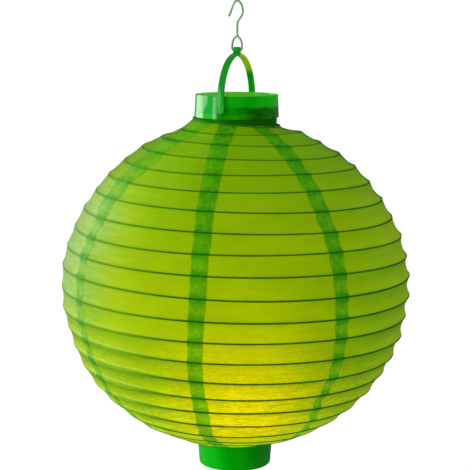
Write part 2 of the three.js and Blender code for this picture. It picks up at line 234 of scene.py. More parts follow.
def frames_along(pts, closed=False):
    pts = np.array(pts, float)
    n = len(pts)
    tang = np.zeros_like(pts)
    for i in range(n):
        a = pts[(i - 1) % n] if closed or i else pts[i]
        b = pts[(i + 1) % n] if closed or i < n - 1 else pts[i]
        tang[i] = (b - a) / max(np.linalg.norm(b - a), 1e-12)
    ref = np.array([0, 0, 1.0]) if abs(tang[0][2]) < 0.9 else np.array([1.0, 0, 0])
    nrm = np.cross(tang[0], ref)
    nrm /= np.linalg.norm(nrm)
    N = [nrm]
    for i in range(1, n):
        v = N[-1] - tang[i] * np.dot(N[-1], tang[i])
        v /= max(np.linalg.norm(v), 1e-12)
        N.append(v)
    N = np.array(N)
    if closed:  # spread the twist left over at the join
        v = N[-1] - tang[0] * np.dot(N[-1], tang[0])
        v /= np.linalg.norm(v)
        B0 = np.cross(tang[0], N[0])
        ang = math.atan2(np.dot(v, B0), np.dot(v, N[0]))
        out = []
        for i in range(n):
            t = -ang * i / n
            B = np.cross(tang[i], N[i])
            out.append(N[i] * math.cos(t) + B * math.sin(t))
        N = np.array(out)
    return pts, tang, N, np.cross(tang, N)


def tube(pts, radius, sides=12, closed=False):
    """pts in globe millimetres. radius is a number or one per point."""
    pts, T, N, B = frames_along(pts, closed)
    n = len(pts)
    rad = np.full(n, radius, float) if np.isscalar(radius) else np.array(radius, float)
    verts, faces = [], []
    for i in range(n):
        for k in range(sides):
            a = 2 * math.pi * k / sides
            q = pts[i] + rad[i] * (math.cos(a) * N[i] + math.sin(a) * B[i])
            verts.append(P(*q))
    for i in range(n if closed else n - 1):
        j = (i + 1) % n
        for k in range(sides):
            l = (k + 1) % sides
            faces.append((i * sides + k, i * sides + l, j * sides + l, j * sides + k))
    if not closed:
        for i, flip in ((0, True), (n - 1, False)):
            c = len(verts)
            verts.append(P(*(pts[i] + T[i] * rad[i] * (-0.45 if flip else 0.45))))
            for k in range(sides):
                l = (k + 1) % sides
                f = (i * sides + k, i * sides + l, c)
                faces.append(f[::-1] if flip else f)
    return verts, faces


def catmull(points, per=8, closed=False):
    """Centripetal Catmull-Rom through points, as the part's own curves are made."""
    p = [np.array(q, float) for q in points]
    out = []
    n = len(p)
    spans = n if closed else n - 1
    for i in range(spans):
        p1, p2 = p[i], p[(i + 1) % n]
        p0 = p[i - 1] if (closed or i) else 2 * p1 - p2
        p3 = p[(i + 2) % n] if (closed or i < n - 2) else 2 * p2 - p1
        t0 = 0
        t1 = t0 + max(np.linalg.norm(p1 - p0), 1e-6) ** 0.5
        t2 = t1 + max(np.linalg.norm(p2 - p1), 1e-6) ** 0.5
        t3 = t2 + max(np.linalg.norm(p3 - p2), 1e-6) ** 0.5
        for k in range(per):
            t = t1 + (t2 - t1) * k / per
            a1 = (t1 - t) / (t1 - t0) * p0 + (t - t0) / (t1 - t0) * p1
            a2 = (t2 - t) / (t2 - t1) * p1 + (t - t1) / (t2 - t1) * p2
            a3 = (t3 - t) / (t3 - t2) * p2 + (t - t2) / (t3 - t2) * p3
            b1 = (t2 - t) / (t2 - t0) * a1 + (t - t0) / (t2 - t0) * a2
            b2 = (t3 - t) / (t3 - t1) * a2 + (t - t1) / (t3 - t1) * a3
            out.append((t2 - t) / (t2 - t1) * b1 + (t - t1) / (t2 - t1) * b2)
    if not closed:
        out.append(p[-1])
    return out


def bevelled(o, width, segments=3, angle=0.6):
    bm = bmesh.new()
    bm.from_mesh(o.data)
    bmesh.ops.remove_doubles(bm, verts=bm.verts, dist=1e-6)
    edges = [e for e in bm.edges if len(e.link_faces) == 2 and e.calc_face_angle(0) > angle]
    bmesh.ops.bevel(
        bm, geom=edges, offset=width * MM, segments=segments, profile=0.5, affect="EDGES", clamp_overlap=True,
    )
    bmesh.ops.recalc_face_normals(bm, faces=bm.faces)
    bm.to_mesh(o.data)
    bm.free()
    o.data.polygons.foreach_set("use_smooth", [True] * len(o.data.polygons))
    return o


# ------------------------------------------------------------------ the globe's shape
GLOBE_R, GLOBE_H, POW = 125.0, 120.63, 1.0773
STEP, LAT0, AZ0 = 6.859, 68.03, 20.6  # degrees of latitude a turn; the rib is at LAT0 where the azimuth is AZ0
PSI0, PSI1 = 110.6 - 360.0, 20.6 + 360.0 * 20.25  # unwrapped azimuth of the rib's two ends
FRONT = 20.6  # azimuth of the side that carries the clearest seam


def smooth(t):
    t = np.clip(t, 0, 1)
    return t * t * (3 - 2 * t)


def ball(lat):
    """The globe's outline: low down it is flattened, because the base's hoop holds the last turns up."""
    a = np.radians(lat)
    return GLOBE_R * np.abs(np.cos(a)) ** POW, GLOBE_H * np.sin(a) + 2.3 * smooth((-42 - np.asarray(lat, float)) / 26)


def edge_top(psi):
    return 30.75 + 0 * psi, 117.15 - 2.75 * np.cos(np.radians(psi - 110.6))


def edge_bottom(psi):
    return 27.95 + 0 * psi, -112.45 + 0.12 * np.cos(np.radians(psi * 3))


def rib(psi):
    """(r, z) of the rib line on the fabric, at an unwrapped azimuth in degrees."""
    psi = np.asarray(psi, float)
    r, z = ball(LAT0 - STEP * (psi - AZ0) / 360)
    fade = smooth((psi - PSI0) / 200) * smooth((PSI1 - psi) / 200)
    r = r + fade * (0.42 * np.sin(np.radians(psi * 1.83 + 40)) + 0.28 * np.sin(np.radians(psi * 3.41 + 110)))
    z = z + fade * (0.40 * np.sin(np.radians(psi * 1.27 + 10)) + 0.22 * np.sin(np.radians(psi * 2.77 + 200)))
    t = smooth((psi - PSI0) / 110)
    er, ez = edge_top(psi)
    r, z = er + (r - er) * t, ez + (z - ez) * t
    t = smooth((PSI1 - psi) / 110)
    er, ez = edge_bottom(psi)
    return er + (r - er) * t, ez + (z - ez) * t


# Seams: the centre azimuth wanders a little down the globe, as hand-glued gores do.
SEAMS = [8.9 + 45 * j + (9.0 if j == 2 else 0.0) for j in range(8)]


def seam_distance(az, z, r):
    """Distance in mm along the surface to the nearest seam's centre line, scaled so that the edge is at 5.6."""
    best = np.full(np.shape(az), 1e3)
    half = np.interp(z, [-118, -90, 0, 60, 100], [3.5, 4.0, 5.6, 6.0, 6.3])
    for j, a in enumerate(SEAMS):
        skew = 1.2 * np.sin(z / 61.0 + 1.7 * j) - (z / 120.0) * (1.3 if j == 0 else 0.5)
        if j == 0:
            skew = skew - 0.9 * smooth((10 - z) / 50) - 1.3 * smooth((-60 - z) / 40)
        if j == 1:
            skew = skew + np.interp(z, [-110, -95, -80, -65, -40], [6.0, 5.0, 2.0, -1.3, 0.0])
        if j == 7:
            skew = skew - np.interp(z, [-60, 0, 30, 80], [0.8, 1.0, 1.9, 1.2])
        d = (az - a - skew + 180) % 360 - 180
        wide = half
        if j == 0:
            wide = np.interp(z, [-118, -105, -90, 0, 60, 100], [5.6, 5.4, 5.0, 5.4, 6.0, 6.5])
        if j == 1:
            wide = np.interp(z, [-118, -90, -60, -20, 60, 100], [2.8, 3.0, 3.6, 5.2, 6.0, 6.0])
        if j == 7:
            wide = np.interp(z, [-118, -60, 0, 40, 75, 100], [3.5, 4.5, 5.0, 6.0, 9.0, 13.0])
        best = np.minimum(best, np.abs(np.radians(d)) * r * 5.6 / wide)
    return best


N_AZ = 240
ROWS = [0, 0.028, 0.065, 0.12, 0.2, 0.32, 0.46, 0.6, 0.73, 0.84, 0.915, 0.966, 1.0]


def build_skin():
    step = 360.0 / N_AZ
    S = int(round((PSI1 - PSI0) / step))
    psi = PSI0 + step * np.arange(S + N_AZ + 1)
    s = np.arange(S + N_AZ + 1)
    ur, uz = np.where(s >= N_AZ, rib(psi - 360), edge_top(psi))
    lr, lz = np.where(s <= S, rib(psi), edge_bottom(psi))
    V = np.array(ROWS)[None, :]
    r = ur[:, None] + (lr - ur)[:, None] * V
    z = uz[:, None] + (lz - uz)[:, None] * V
    dr, dz = (lr - ur)[:, None], (lz - uz)[:, None]
    length = np.hypot(dr, dz)
    nr, nz = -dz / np.maximum(length, 1e-6), dr / np.maximum(length, 1e-6)
    az = psi[:, None] + 0 * V
    mid = z / GLOBE_H
    # Between two turns the cloth is drawn in, a little more low down where it hangs slack.
    depth = 1.15 + 0.75 * smooth((0.75 - mid) / 0.75) + 0.25 * np.sin(np.radians(az * 2.3 + 30)) * np.sin(z / 33)
    depth = depth * (1 - 0.45 * smooth((-0.55 - mid) / 0.4))
    turned = (az - FRONT + 180) % 360 - 180
    depth = depth * (1 - 0.58 * smooth((-turned - 30) / 45) * smooth((turned + 170) / 40))
    depth = depth * (1 - 0.40 * smooth((turned - 30) / 40) * smooth((-25 - z) / 40))
    hollow = 4 * V * (1 - V)
    hollow = 0.75 * hollow + 0.25 * np.sqrt(np.clip(hollow, 0, 1))
    share = np.clip(length / 14.5, 0, 1) ** 1.5
    inward = depth * hollow * share
    co = np.stack([r * np.cos(np.radians(az)), r * np.sin(np.radians(az)), z], -1)
    # Creases: long across the globe, short up it, and gone at the wire that stretches the cloth.
    crease = np.zeros(co.shape[:2])
    pucker = np.exp(-((((az % 360) - 324 + 180) % 360 - 180) ** 2) / (2 * 6.5**2)) * smooth((85 - z) / 40)
    low_left = np.exp(-(((az % 360) - 312 + 180) % 360 - 180) ** 2 / (2 * 38.0**2)) * smooth((10 - z) / 60)
    for i in range(co.shape[0]):
        for j in range(1, len(ROWS) - 1):
            x, y, zz = co[i, j]
            a = noise.noise(Vector((x * 0.035, y * 0.035, zz * 0.22)))
            b = noise.noise(Vector((x * 0.09 + 7, y * 0.09, zz * 0.34 + 3)))
            crease[i, j] = a * 0.34 + b * (0.12 + 0.34 * low_left[i, j])
            pull = pucker[i, j]
            if pull > 0.02:  # short folds gathered along a badly glued seam
                crease[i, j] += pull * 0.9 * noise.noise(Vector((x * 0.16, y * 0.16 + 11, zz * 0.13)))
    inward = inward - crease * np.sin(math.pi * V) ** 0.6 * share
    r = r - inward * nr
    z = z - inward * nz
    x, y = r * np.cos(np.radians(az)), r * np.sin(np.radians(az))
    n0, m = x.shape
    # One vertex for each place: the lower edge of a turn is the upper edge of the next.
    index = np.arange(n0 * m).reshape(n0, m)
    for i in range(N_AZ, n0):
        index[i, 0] = index[i - N_AZ, m - 1]
    index[0, :] = index[0, m - 1]
    index[n0 - 1, 1:] = index[n0 - 1, 0]
    used, inverse = np.unique(index, return_inverse=True)
    inverse = inverse.reshape(index.shape)
    flat = np.stack([x.ravel(), y.ravel(), z.ravel()], -1)[used]
    faces, vband, frow = [], [], []
    for i in range(n0 - 1):
        for j in range(m - 1):
            f = [inverse[i, j], inverse[i, j + 1], inverse[i + 1, j + 1], inverse[i + 1, j]]
            v = [ROWS[j], ROWS[j + 1], ROWS[j + 1], ROWS[j]]
            g, w = [], []
            for a, b in zip(f, v):
                if a not in g:
                    g.append(a)
                    w.append(b)
            if len(g) >= 3:
                faces.append(g)
                vband.append(w)
    dist = (np.minimum(V, 1 - V) * length).ravel()[used]
    azv = az.ravel()[used]
    rv, zv = r.ravel()[used], z.ravel()[used]
    return flat, faces, vband, dist, azv, rv, zv


def glow_at(az, z):
    """How strongly the lamp in the base shows through the cloth."""
    zs = [-118, -105, -98, -90, -81, -69, -57, -41, -21, 0, 22, 50, 78, 105]
    centre = np.interp(z, zs, [0.05, 0.09, 0.20, 0.32, 0.53, 0.55, 0.54, 0.43, 0.33, 0.17, 0.112, 0.075, 0.035, 0.0])
    one = np.interp(z, zs, [0.08, 0.08, 0.08, 0.08, 0.10, 0.10, 0.09, 0.10, 0.12, 0.13, 0.12, 0.08, 0.04, 0.0])
    other = np.interp(z, zs, [0.05, 0.05, 0.05, 0.03, 0.03, 0.04, 0.04, 0.035, 0.03, 0.03, 0.03, 0.04, 0.02, 0.0])
    d = (az - (FRONT + np.interp(z, [-75, -50], [1.0, 3.0])) + 180) % 360 - 180
    one = one * (1 - 0.95 * smooth((-d - 42) / 16) * np.interp(z, [-35, -15, 0, 21, 45, 60], [0.0, 0.6, 1.0, 0.8, 0.6, 0.3]))
    w = 0.5 + 0.5 * np.clip(1.4 * np.sin(np.radians(d)), -1, 1)
    wide = np.interp(z, [-98, -84, -70, -40], [27.0, 21.0, 20.0, 16.5])
    centre = centre + 0.09 * smooth((-72 - z) / 12) * smooth((z + 101) / 8)
    return one * (1 - w) + other * w + (centre - 0.5 * (one + other)) * np.exp(-(d**2) / (2 * wide**2))


def sheen_and_wear_at(az, z):
    """How strongly one side of the cloth is painted with sheen, paler and whiter, its upper half most; the same mask
    also tears the seams there.
    """
    d = (az - FRONT + 180) % 360 - 180
    side = np.interp(d, [-125, -95, -76, -51, -40, -29, -15], [0.0, 0.38, 0.54, 0.44, 0.28, 0.09, 0.0])
    return side * np.interp(z, [-118, -50, -20, 10, 60, 76, 92, 108], [0.2, 0.3, 0.6, 0.9, 1.0, 0.68, 0.22, 0.04])


def painted_shade_at(az, z):
    """Painted light and shade round the cloth: darker towards the limbs and lighter low down near the lamp, with small
    changes of shade low on one side.
    """
    d = (az - FRONT + 180) % 360 - 180
    tone = np.interp(
        d, [-95, -75, -65, -55, -45, -35, -25, -10, 5, 20, 40, 75],
        [0.72, 0.79, 0.94, 0.98, 1.00, 1.00, 1.02, 0.96, 0.96, 0.93, 0.91, 0.91],
    )
    left = smooth((-d - 15) / 20)
    tone = tone * (1 + left * (0.09 * smooth((z - 50) / 30) - 0.06 * smooth((-30 - z) / 30)))
    front = smooth((40 - np.abs(d)) / 25)
    tone = tone * (1 - front * 0.18 * smooth((-72 - z) / 14) * smooth((z + 104) / 8))
    tone = tone * (1 + np.interp(z, [-112, -104, -98, -90, -81, -69, -57, -45, -30, 0], [0.33, 0.42, 0.27, 0.16, 0.17, 0.17, 0.13, 0.08, 0.03, 0.0]))
    lower_left = np.interp(z, [-104, -90, -81, -69, -57, -41, -21, 0, 15], [0.0, 0.03, 0.08, 0.11, 0.09, 0.12, 0.07, 0.04, 0.0])
    return tone * (1 + smooth((-d - 17) / 12) * lower_left * (1 + 0.7 * smooth((-d - 50) / 15)))


# ------------------------------------------------------------------ materials
def fabric_material():
    k = Mat("green_fabric")
    ribd, seam, glow, sheen_and_wear, band, tone = (k.attr(a) for a in ("rib_mm", "seam_mm", "glow", "sheen_and_wear", "band", "tone"))
    vec = k.obj()
    cloud = k.noise(k.obj((1, 1, 1.6)), 26, 4, 0.6)
    streak = k.noise(k.obj((1, 1, 7.5)), 38, 5, 0.62, 0.6)
    fine = k.noise(k.obj((1, 1, 13)), 95, 4, 0.65, 0.5)
    mottle = k.noise(vec, 330, 3, 0.6)
    x, y, z = k.sep(vec)
    across = k.math("ADD", k.math("MULTIPLY", x, -0.352), k.math("MULTIPLY", y, 0.936))
    lower = k.ramp(z, (12 - SEAT) * MM, (-58 - SEAT) * MM)
    # cloth, with painted shade: darker towards the top, away from the lamp below
    high = k.ramp(z, (20 - SEAT) * MM, (115 - SEAT) * MM)
    top_left = k.math("MULTIPLY", k.ramp(z, (70 - SEAT) * MM, (92 - SEAT) * MM), k.ramp(across, -0.012, -0.03))
    cloth = k.mix(high, (0.166, 0.345, 0.0008, 1), (0.140, 0.318, 0.0008, 1))
    cloth = k.mix(k.ramp(cloud, 0.35, 0.68), cloth, k.mix(1.0, cloth, (1.10, 1.06, 1.0, 1), "MULTIPLY"))
    cloth = k.mix(k.ramp(streak, 0.3, 0.7, 0, 0.5), cloth, k.mix(1.0, cloth, (0.80, 0.88, 0.9, 1), "MULTIPLY"))
    # the two layers of a glued seam, torn and patchy on the side that also carries the painted sheen
    wander = k.math("MULTIPLY_ADD", k.noise(vec, 95, 3, 0.6), 2.6, -1.3)
    sd = k.math("ADD", seam, wander)
    torn = k.math("MULTIPLY_ADD", k.noise(k.obj((1, 1, 1.3)), 62, 4, 0.65, 0.8), 26.0, -13.0)
    sd = k.math("ADD", sd, k.math("MULTIPLY", torn, sheen_and_wear))
    inseam = k.ramp(sd, 4.6, k.math("MULTIPLY_ADD", sheen_and_wear, 1.6, 6.3), 1.0, 0.0)
    ragged = k.ramp(ribd, 1.5, 5.0, 1.0, k.ramp(k.noise(vec, 70, 3), 0.35, 0.65, 0.15, 0.8))
    inseam = k.math("MULTIPLY", inseam, k.mix(k.math("MULTIPLY", sheen_and_wear, 1.8, clamp=True), (1, 1, 1, 1), ragged))
    glue = k.noise(k.obj((1, 1, 0.7)), 210, 4, 0.7, 0.8)
    patch = k.noise(k.obj((1, 1, 0.5)), 60, 4, 0.65, 0.5)
    seam_col = k.mix(k.ramp(glue, 0.32, 0.7), (0.028, 0.225, 0.001, 1), (0.070, 0.335, 0.004, 1))
    seam_col = k.mix(k.ramp(patch, 0.35, 0.65, 0.45, 0.0), seam_col, k.mix(1.0, seam_col, (0.6, 0.72, 0.8, 1), "MULTIPLY"))
    col = k.mix(k.math("MULTIPLY", inseam, 0.95), cloth, seam_col)
    lip = k.math("MULTIPLY", k.ramp(sd, 4.0, 5.0), k.ramp(sd, 5.2, 6.1, 1.0, 0.0))
    col = k.mix(k.math("MULTIPLY", lip, k.ramp(glue, 0.40, 0.62, 0.0, 0.25)), col, (0.020, 0.190, 0.001, 1))
    # painted light and shade on the seams: lighter between the wires and darker next to them, most low down
    beat = k.math("MULTIPLY", inseam, k.ramp(z, (60 - SEAT) * MM, (5 - SEAT) * MM, 0.15, 1.0))
    belly = k.ramp(ribd, 2.2, 6.0)
    col = k.mix(k.math("MULTIPLY", beat, belly), col, k.mix(1.0, col, (1.85, 1.19, 1.0, 1), "MULTIPLY"))
    col = k.mix(k.math("MULTIPLY", beat, k.math("SUBTRACT", 1.0, belly)), col, k.mix(1.0, col, (0.66, 0.95, 0.8, 1), "MULTIPLY"))
    dark_end = k.math("MULTIPLY", k.math("MULTIPLY", inseam, k.ramp(ribd, 0.5, 4.0, 0.55, 0.0)), k.ramp(across, -0.070, -0.045, 0.15, 1.0))
    col = k.mix(dark_end, col, k.mix(1.0, col, (0.35, 0.72, 0.6, 1), "MULTIPLY"))
    # painted light: the cloth low down is painted brighter, near the lamp
    low = k.ramp(z, (-70 - SEAT) * MM, (-97 - SEAT) * MM)
    col = k.mix(low, col, k.mix(1.0, col, (1.24, 1.24, 1.0, 1), "MULTIPLY"))
    warm_side = k.math("MULTIPLY", inseam, k.math("MULTIPLY", lower, k.ramp(across, 0.02, 0.05)))
    col = k.mix(warm_side, col, k.mix(1.0, col, (1.38, 1.12, 1.0, 1), "MULTIPLY"))
    col = k.mix(k.math("MULTIPLY", inseam, top_left), col, k.mix(1.0, col, (1.75, 1.22, 0.5, 1), "MULTIPLY"))
    # painted sheen: one side of the cloth is painted paler and whiter, mostly between the turns
    painted_sheen = k.math("MULTIPLY", sheen_and_wear, k.ramp(k.math("ADD", streak, k.math("MULTIPLY", fine, 0.6)), 0.60, 1.0, 0.35, 1.5))
    held = k.mix(lower, k.math("MULTIPLY", k.ramp(band, 0.0, 0.10), k.ramp(band, 1.0, 0.90)), k.ramp(band, 0.12, 0.62))
    painted_sheen = k.math("MULTIPLY", painted_sheen, k.mix(0.0, held, held))
    sheen_col = k.mix(k.ramp(sheen_and_wear, 0.22, 0.50), (0.33, 0.55, 0.018, 1), (0.29, 0.53, 0.12, 1))
    col = k.mix(painted_sheen, col, k.mix(inseam, sheen_col, k.mix(k.ramp(sheen_and_wear, 0.10, 0.42), (0.17, 0.40, 0.002, 1), (0.18, 0.475, 0.055, 1))))
    # each turn of cloth is shaded under its upper wire and lit above its lower one, most of all low down
    sideways = k.math("MAXIMUM", k.ramp(across, -0.03, -0.085), k.math("MULTIPLY", k.ramp(across, 0.045, 0.10), 0.75))
    amount = k.math("MULTIPLY", lower, k.math("MULTIPLY_ADD", sideways, 0.30, 0.70))
    right_side = k.math("MULTIPLY", k.ramp(across, 0.04, 0.095), k.ramp(z, (60 - SEAT) * MM, (-25 - SEAT) * MM, 0.40, 1.0))
    amount = k.math("MAXIMUM", amount, right_side)
    low_left = k.math("MULTIPLY", lower, k.ramp(across, -0.030, -0.065))
    shade = k.math("MULTIPLY", amount, k.ramp(band, 0.70, -0.05))
    lit = k.math("MULTIPLY", amount, k.ramp(band, 0.45, 0.92))
    col = k.mix(shade, col, k.mix(1.0, col, (0.47, 0.78, 0.4, 1), "MULTIPLY"))
    col = k.mix(lit, col, k.mix(1.0, col, (1.24, 1.13, 1.0, 1), "MULTIPLY"))
    # painted highlight just under each wire, high up and at the front
    crest = k.math("MULTIPLY", k.ramp(band, 0.22, 0.03), k.math("SUBTRACT", 1.0, k.math("MAXIMUM", lower, sideways)))
    col = k.mix(crest, col, k.mix(1.0, col, (1.14, 1.10, 1.0, 1), "MULTIPLY"))
    # painted highlight: a pale line just above each wire, low down on one side
    ridge_highlight = k.math("MULTIPLY", k.math("MULTIPLY", lower, k.ramp(across, -0.045, -0.09)), k.math("MULTIPLY", k.ramp(band, 0.72, 0.86), k.ramp(ribd, 0.7, 1.4)))
    col = k.mix(k.math("MULTIPLY", ridge_highlight, 0.40), col, (0.40, 0.63, 0.15, 1))
    # fine creases, sharpest low down, with painted shade along them
    crinkle = k.noise(k.obj((1, 1, 4.2), (0.30, 0.22, 0)), 105, 5, 0.66, 0.9)
    sharp = k.ramp(k.math("ABSOLUTE", k.math("SUBTRACT", crinkle, 0.5)), 0.0, 0.055, 1.0, 0.0)
    sharp = k.math("MULTIPLY", sharp, k.ramp(z, (5 - SEAT) * MM, (-55 - SEAT) * MM))
    col = k.mix(k.math("MULTIPLY", sharp, 0.55), col, k.mix(1.0, col, (0.74, 0.84, 0.75, 1), "MULTIPLY"))
    # the wire behind the cloth: a soft painted shade round it, then its line painted dark as the wire's shadow through
    # the cloth, lighter and wider low on one side
    near = k.ramp(ribd, 0.3, 2.4, 1.0, 0.0)
    col = k.mix(k.math("MULTIPLY", near, 0.38), col, k.mix(1.0, col, (0.42, 0.72, 0.6, 1), "MULTIPLY"))
    width = k.math("MULTIPLY_ADD", k.noise(vec, 120, 2), 0.24, 0.34)
    width = k.math("ADD", width, k.math("MULTIPLY", sheen_and_wear, 0.08))
    width = k.math("ADD", width, k.ramp(z, (45 - SEAT) * MM, (0 - SEAT) * MM, 0.0, 0.12))
    width = k.math("ADD", width, k.math("MULTIPLY", k.ramp(z, (-25 - SEAT) * MM, (-70 - SEAT) * MM), 0.30))
    width = k.math("ADD", width, k.math("MULTIPLY", k.math("MULTIPLY", lower, k.ramp(across, -0.04, -0.08)), 0.45))
    soft = k.math("ADD", k.math("MULTIPLY_ADD", sheen_and_wear, 0.15, 0.28), k.math("MULTIPLY", low_left, 1.1))
    line = k.math("SUBTRACT", 1.0, k.ramp(ribd, k.math("SUBTRACT", width, 0.12), k.math("ADD", width, soft)))
    line = k.math("MULTIPLY", line, k.ramp(z, (60 - SEAT) * MM, (112 - SEAT) * MM, 1.0, 0.75))
    line = k.math("MULTIPLY", line, k.ramp(sheen_and_wear, 0.1, 0.7, 1.0, 0.75))
    line_col = k.mix(k.ramp(across, -0.030, -0.085), (0.017, 0.098, 0.0004, 1), k.mix(lower, (0.070, 0.230, 0.004, 1), (0.185, 0.385, 0.003, 1)))
    col = k.mix(line, col, k.mix(inseam, line_col, k.mix(k.ramp(across, -0.045, -0.080), (0.006, 0.110, 0.001, 1), (0.050, 0.27, 0.008, 1))))
    # emission: the lamp's light coming through
    light = k.math("MULTIPLY", glow, k.ramp(cloud, 0.3, 0.7, 0.94, 1.10))
    light = k.math("MULTIPLY", light, k.ramp(streak, 0.25, 0.75, 1.09, 0.92))
    light = k.math("MULTIPLY", light, k.math("MULTIPLY_ADD", sharp, -0.30, 1.07))
    wrinkle = k.math("MULTIPLY", k.ramp(fine, 0.36, 0.64, 0.36, -0.26), k.ramp(z, (-25 - SEAT) * MM, (-75 - SEAT) * MM))
    light = k.math("MULTIPLY", light, k.math("ADD", 1.0, wrinkle))
    light = k.math("MULTIPLY", light, k.math("SUBTRACT", 1.0, k.math("MULTIPLY", inseam, 0.68)))
    light = k.math("MULTIPLY", light, k.math("SUBTRACT", 1.0, k.math("MULTIPLY", line, 0.94)))
    light = k.math("MULTIPLY", light, k.ramp(ribd, 0.0, 4.0, 0.92, 1.04))
    light = k.math("MULTIPLY", light, k.math("SUBTRACT", 1.0, k.math("MULTIPLY", lower, k.ramp(band, 0.40, 0.0, 0.0, 0.28))))
    light = k.math("MULTIPLY", light, k.math("ADD", 1.0, k.math("MULTIPLY", lower, k.ramp(band, 0.5, 0.9, 0.0, 0.10))))
    light = k.math("MULTIPLY", light, k.math("SUBTRACT", 1.0, k.math("MULTIPLY", low_left, k.ramp(band, 0.65, 0.05, 0.0, 0.65))))
    warm = k.mix(k.ramp(glow, 0.15, 0.5), (1.0, 0.63, 0.0, 1), (1.0, 0.535, 0.0, 1))
    warm = k.mix(inseam, warm, (0.75, 0.80, 0.0, 1))
    # weave, creases and glue lumps
    weave = k.math("ADD", k.wave(k.obj((1, 1, 1)), 520, 0.4, "Z"), k.wave(k.obj((1, 1, 1), (0, 0, 0.35)), 470, 0.4, "X"))
    h = k.math("MULTIPLY_ADD", weave, 0.05, k.math("MULTIPLY", streak, 1.0))
    h = k.math("ADD", h, k.math("MULTIPLY", k.math("MULTIPLY", glue, inseam), 0.80))
    h = k.math("ADD", h, k.math("MULTIPLY", k.math("MULTIPLY", patch, inseam), 0.9))
    h = k.math("ADD", h, k.math("MULTIPLY", inseam, 0.35))
    h = k.math("ADD", h, k.math("MULTIPLY", mottle, 0.10))
    h = k.math("ADD", h, k.math("MULTIPLY", fine, 0.45))
    h = k.math("ADD", h, k.math("MULTIPLY", sharp, -0.35))
    fold = k.noise(k.obj((1, 1, 1), (0.5, 0.3, 0)), 85, 3, 0.6, 1.5)
    h = k.math("ADD", h, k.math("MULTIPLY", k.math("MULTIPLY", fold, k.ramp(seam, 16.0, 4.0)), k.math("MULTIPLY", sheen_and_wear, 5.0)))
    normal = k.bump(h, 0.6, 0.0009)
    # painted light and shade round the cloth, from painted_shade_at
    col = k.mix(1.0, col, tone, "MULTIPLY")
    p = k.principled(
        Base_Color=col, Roughness=k.ramp(streak, 0.2, 0.8, 0.40, 0.56), Specular_IOR_Level=k.math("MULTIPLY_ADD", sheen_and_wear, 0.10, 0.02),
        Specular_Tint=(0.6, 1.0, 0.0, 1), Normal=normal, Emission_Color=warm, Emission_Strength=light,
    )
    return k.done(p.outputs[0])


def plastic(
    name, dark, light, rough=0.2, spec=0.5, mottled=0.5, scale=40, emit=None, coat=0.0, translucent=0.0, tint=(1, 1, 1), zones=None,
    ripple=0.0, gloss=None, tint_to=None,
):
    k = Mat(name)
    vec = k.obj()
    flow = k.noise(k.obj((1, 1, 0.6)), scale, 4, 0.6, 0.7)
    fine = k.noise(vec, 900, 2)
    col = k.mix(k.ramp(flow, 0.5 - 0.25 * mottled, 0.5 + 0.3 * mottled), (*dark, 1), (*light, 1))
    if zones:
        col = zones(k, vec, col)
    r = k.math("MULTIPLY_ADD", fine, 0.08, rough - 0.04)
    height = k.math("MULTIPLY_ADD", flow, 1.0, k.math("MULTIPLY", fine, 0.05))
    if ripple:
        height = k.math("ADD", height, k.math("MULTIPLY", k.noise(k.obj((1, 1, 0.06)), 170, 2, 0.5), ripple))
    n = k.bump(height, 0.12, 0.0008)
    if gloss:
        spec = k.math("MULTIPLY", gloss(k, vec), spec)
    reflect = (*tint, 1)
    if tint_to:  # (x0, x1, colour): painted shade in the reflections: along a fixed sideways direction the reflection's tint turns green on the side away from the strip lights, which dims the reflections there
        x, y, z = k.sep(vec)
        across = k.math("ADD", k.math("MULTIPLY", x, -0.352), k.math("MULTIPLY", y, 0.936))
        reflect = k.mix(k.ramp(across, tint_to[0], tint_to[1]), reflect, (*tint_to[2], 1))
    p = k.principled(
        Base_Color=col, Roughness=r, Specular_IOR_Level=spec, Specular_Tint=reflect, Normal=n, Coat_Weight=coat, Coat_Roughness=0.06,
    )
    if emit:
        p.inputs["Emission Color"].default_value = (*emit[:3], 1)
        p.inputs["Emission Strength"].default_value = emit[3]
    if translucent:
        t = k.n("ShaderNodeBsdfTranslucent")
        k.put(t.inputs["Color"], col)
        mx = k.n("ShaderNodeMixShader")
        mx.inputs[0].default_value = translucent
        k.nt.links.new(p.outputs[0], mx.inputs[1])
        k.nt.links.new(t.outputs[0], mx.inputs[2])
        return k.done(mx.outputs[0])
    return k.done(p.outputs[0])


def metal(name, a, b, rough=0.3, scale=220, drawn=(1, 1, 0.12), metallic=1.0):
    k = Mat(name)
    g = k.noise(k.obj(drawn), scale, 4, 0.6)
    s = k.noise(k.obj(), scale * 0.3, 3, 0.6)
    col = k.mix(k.ramp(s, 0.3, 0.7), (*a, 1), (*b, 1))
    p = k.principled(
        Base_Color=col, Metallic=metallic, Roughness=k.math("MULTIPLY_ADD", g, 0.22, rough - 0.1), Normal=k.bump(g, 0.2, 0.0002),
    )
    return k.done(p.outputs[0])


FABRIC = fabric_material()
HEM = plastic("hem_cloth", (0.016, 0.13, 0.001), (0.035, 0.19, 0.002), 0.6, 0.04, scale=120)


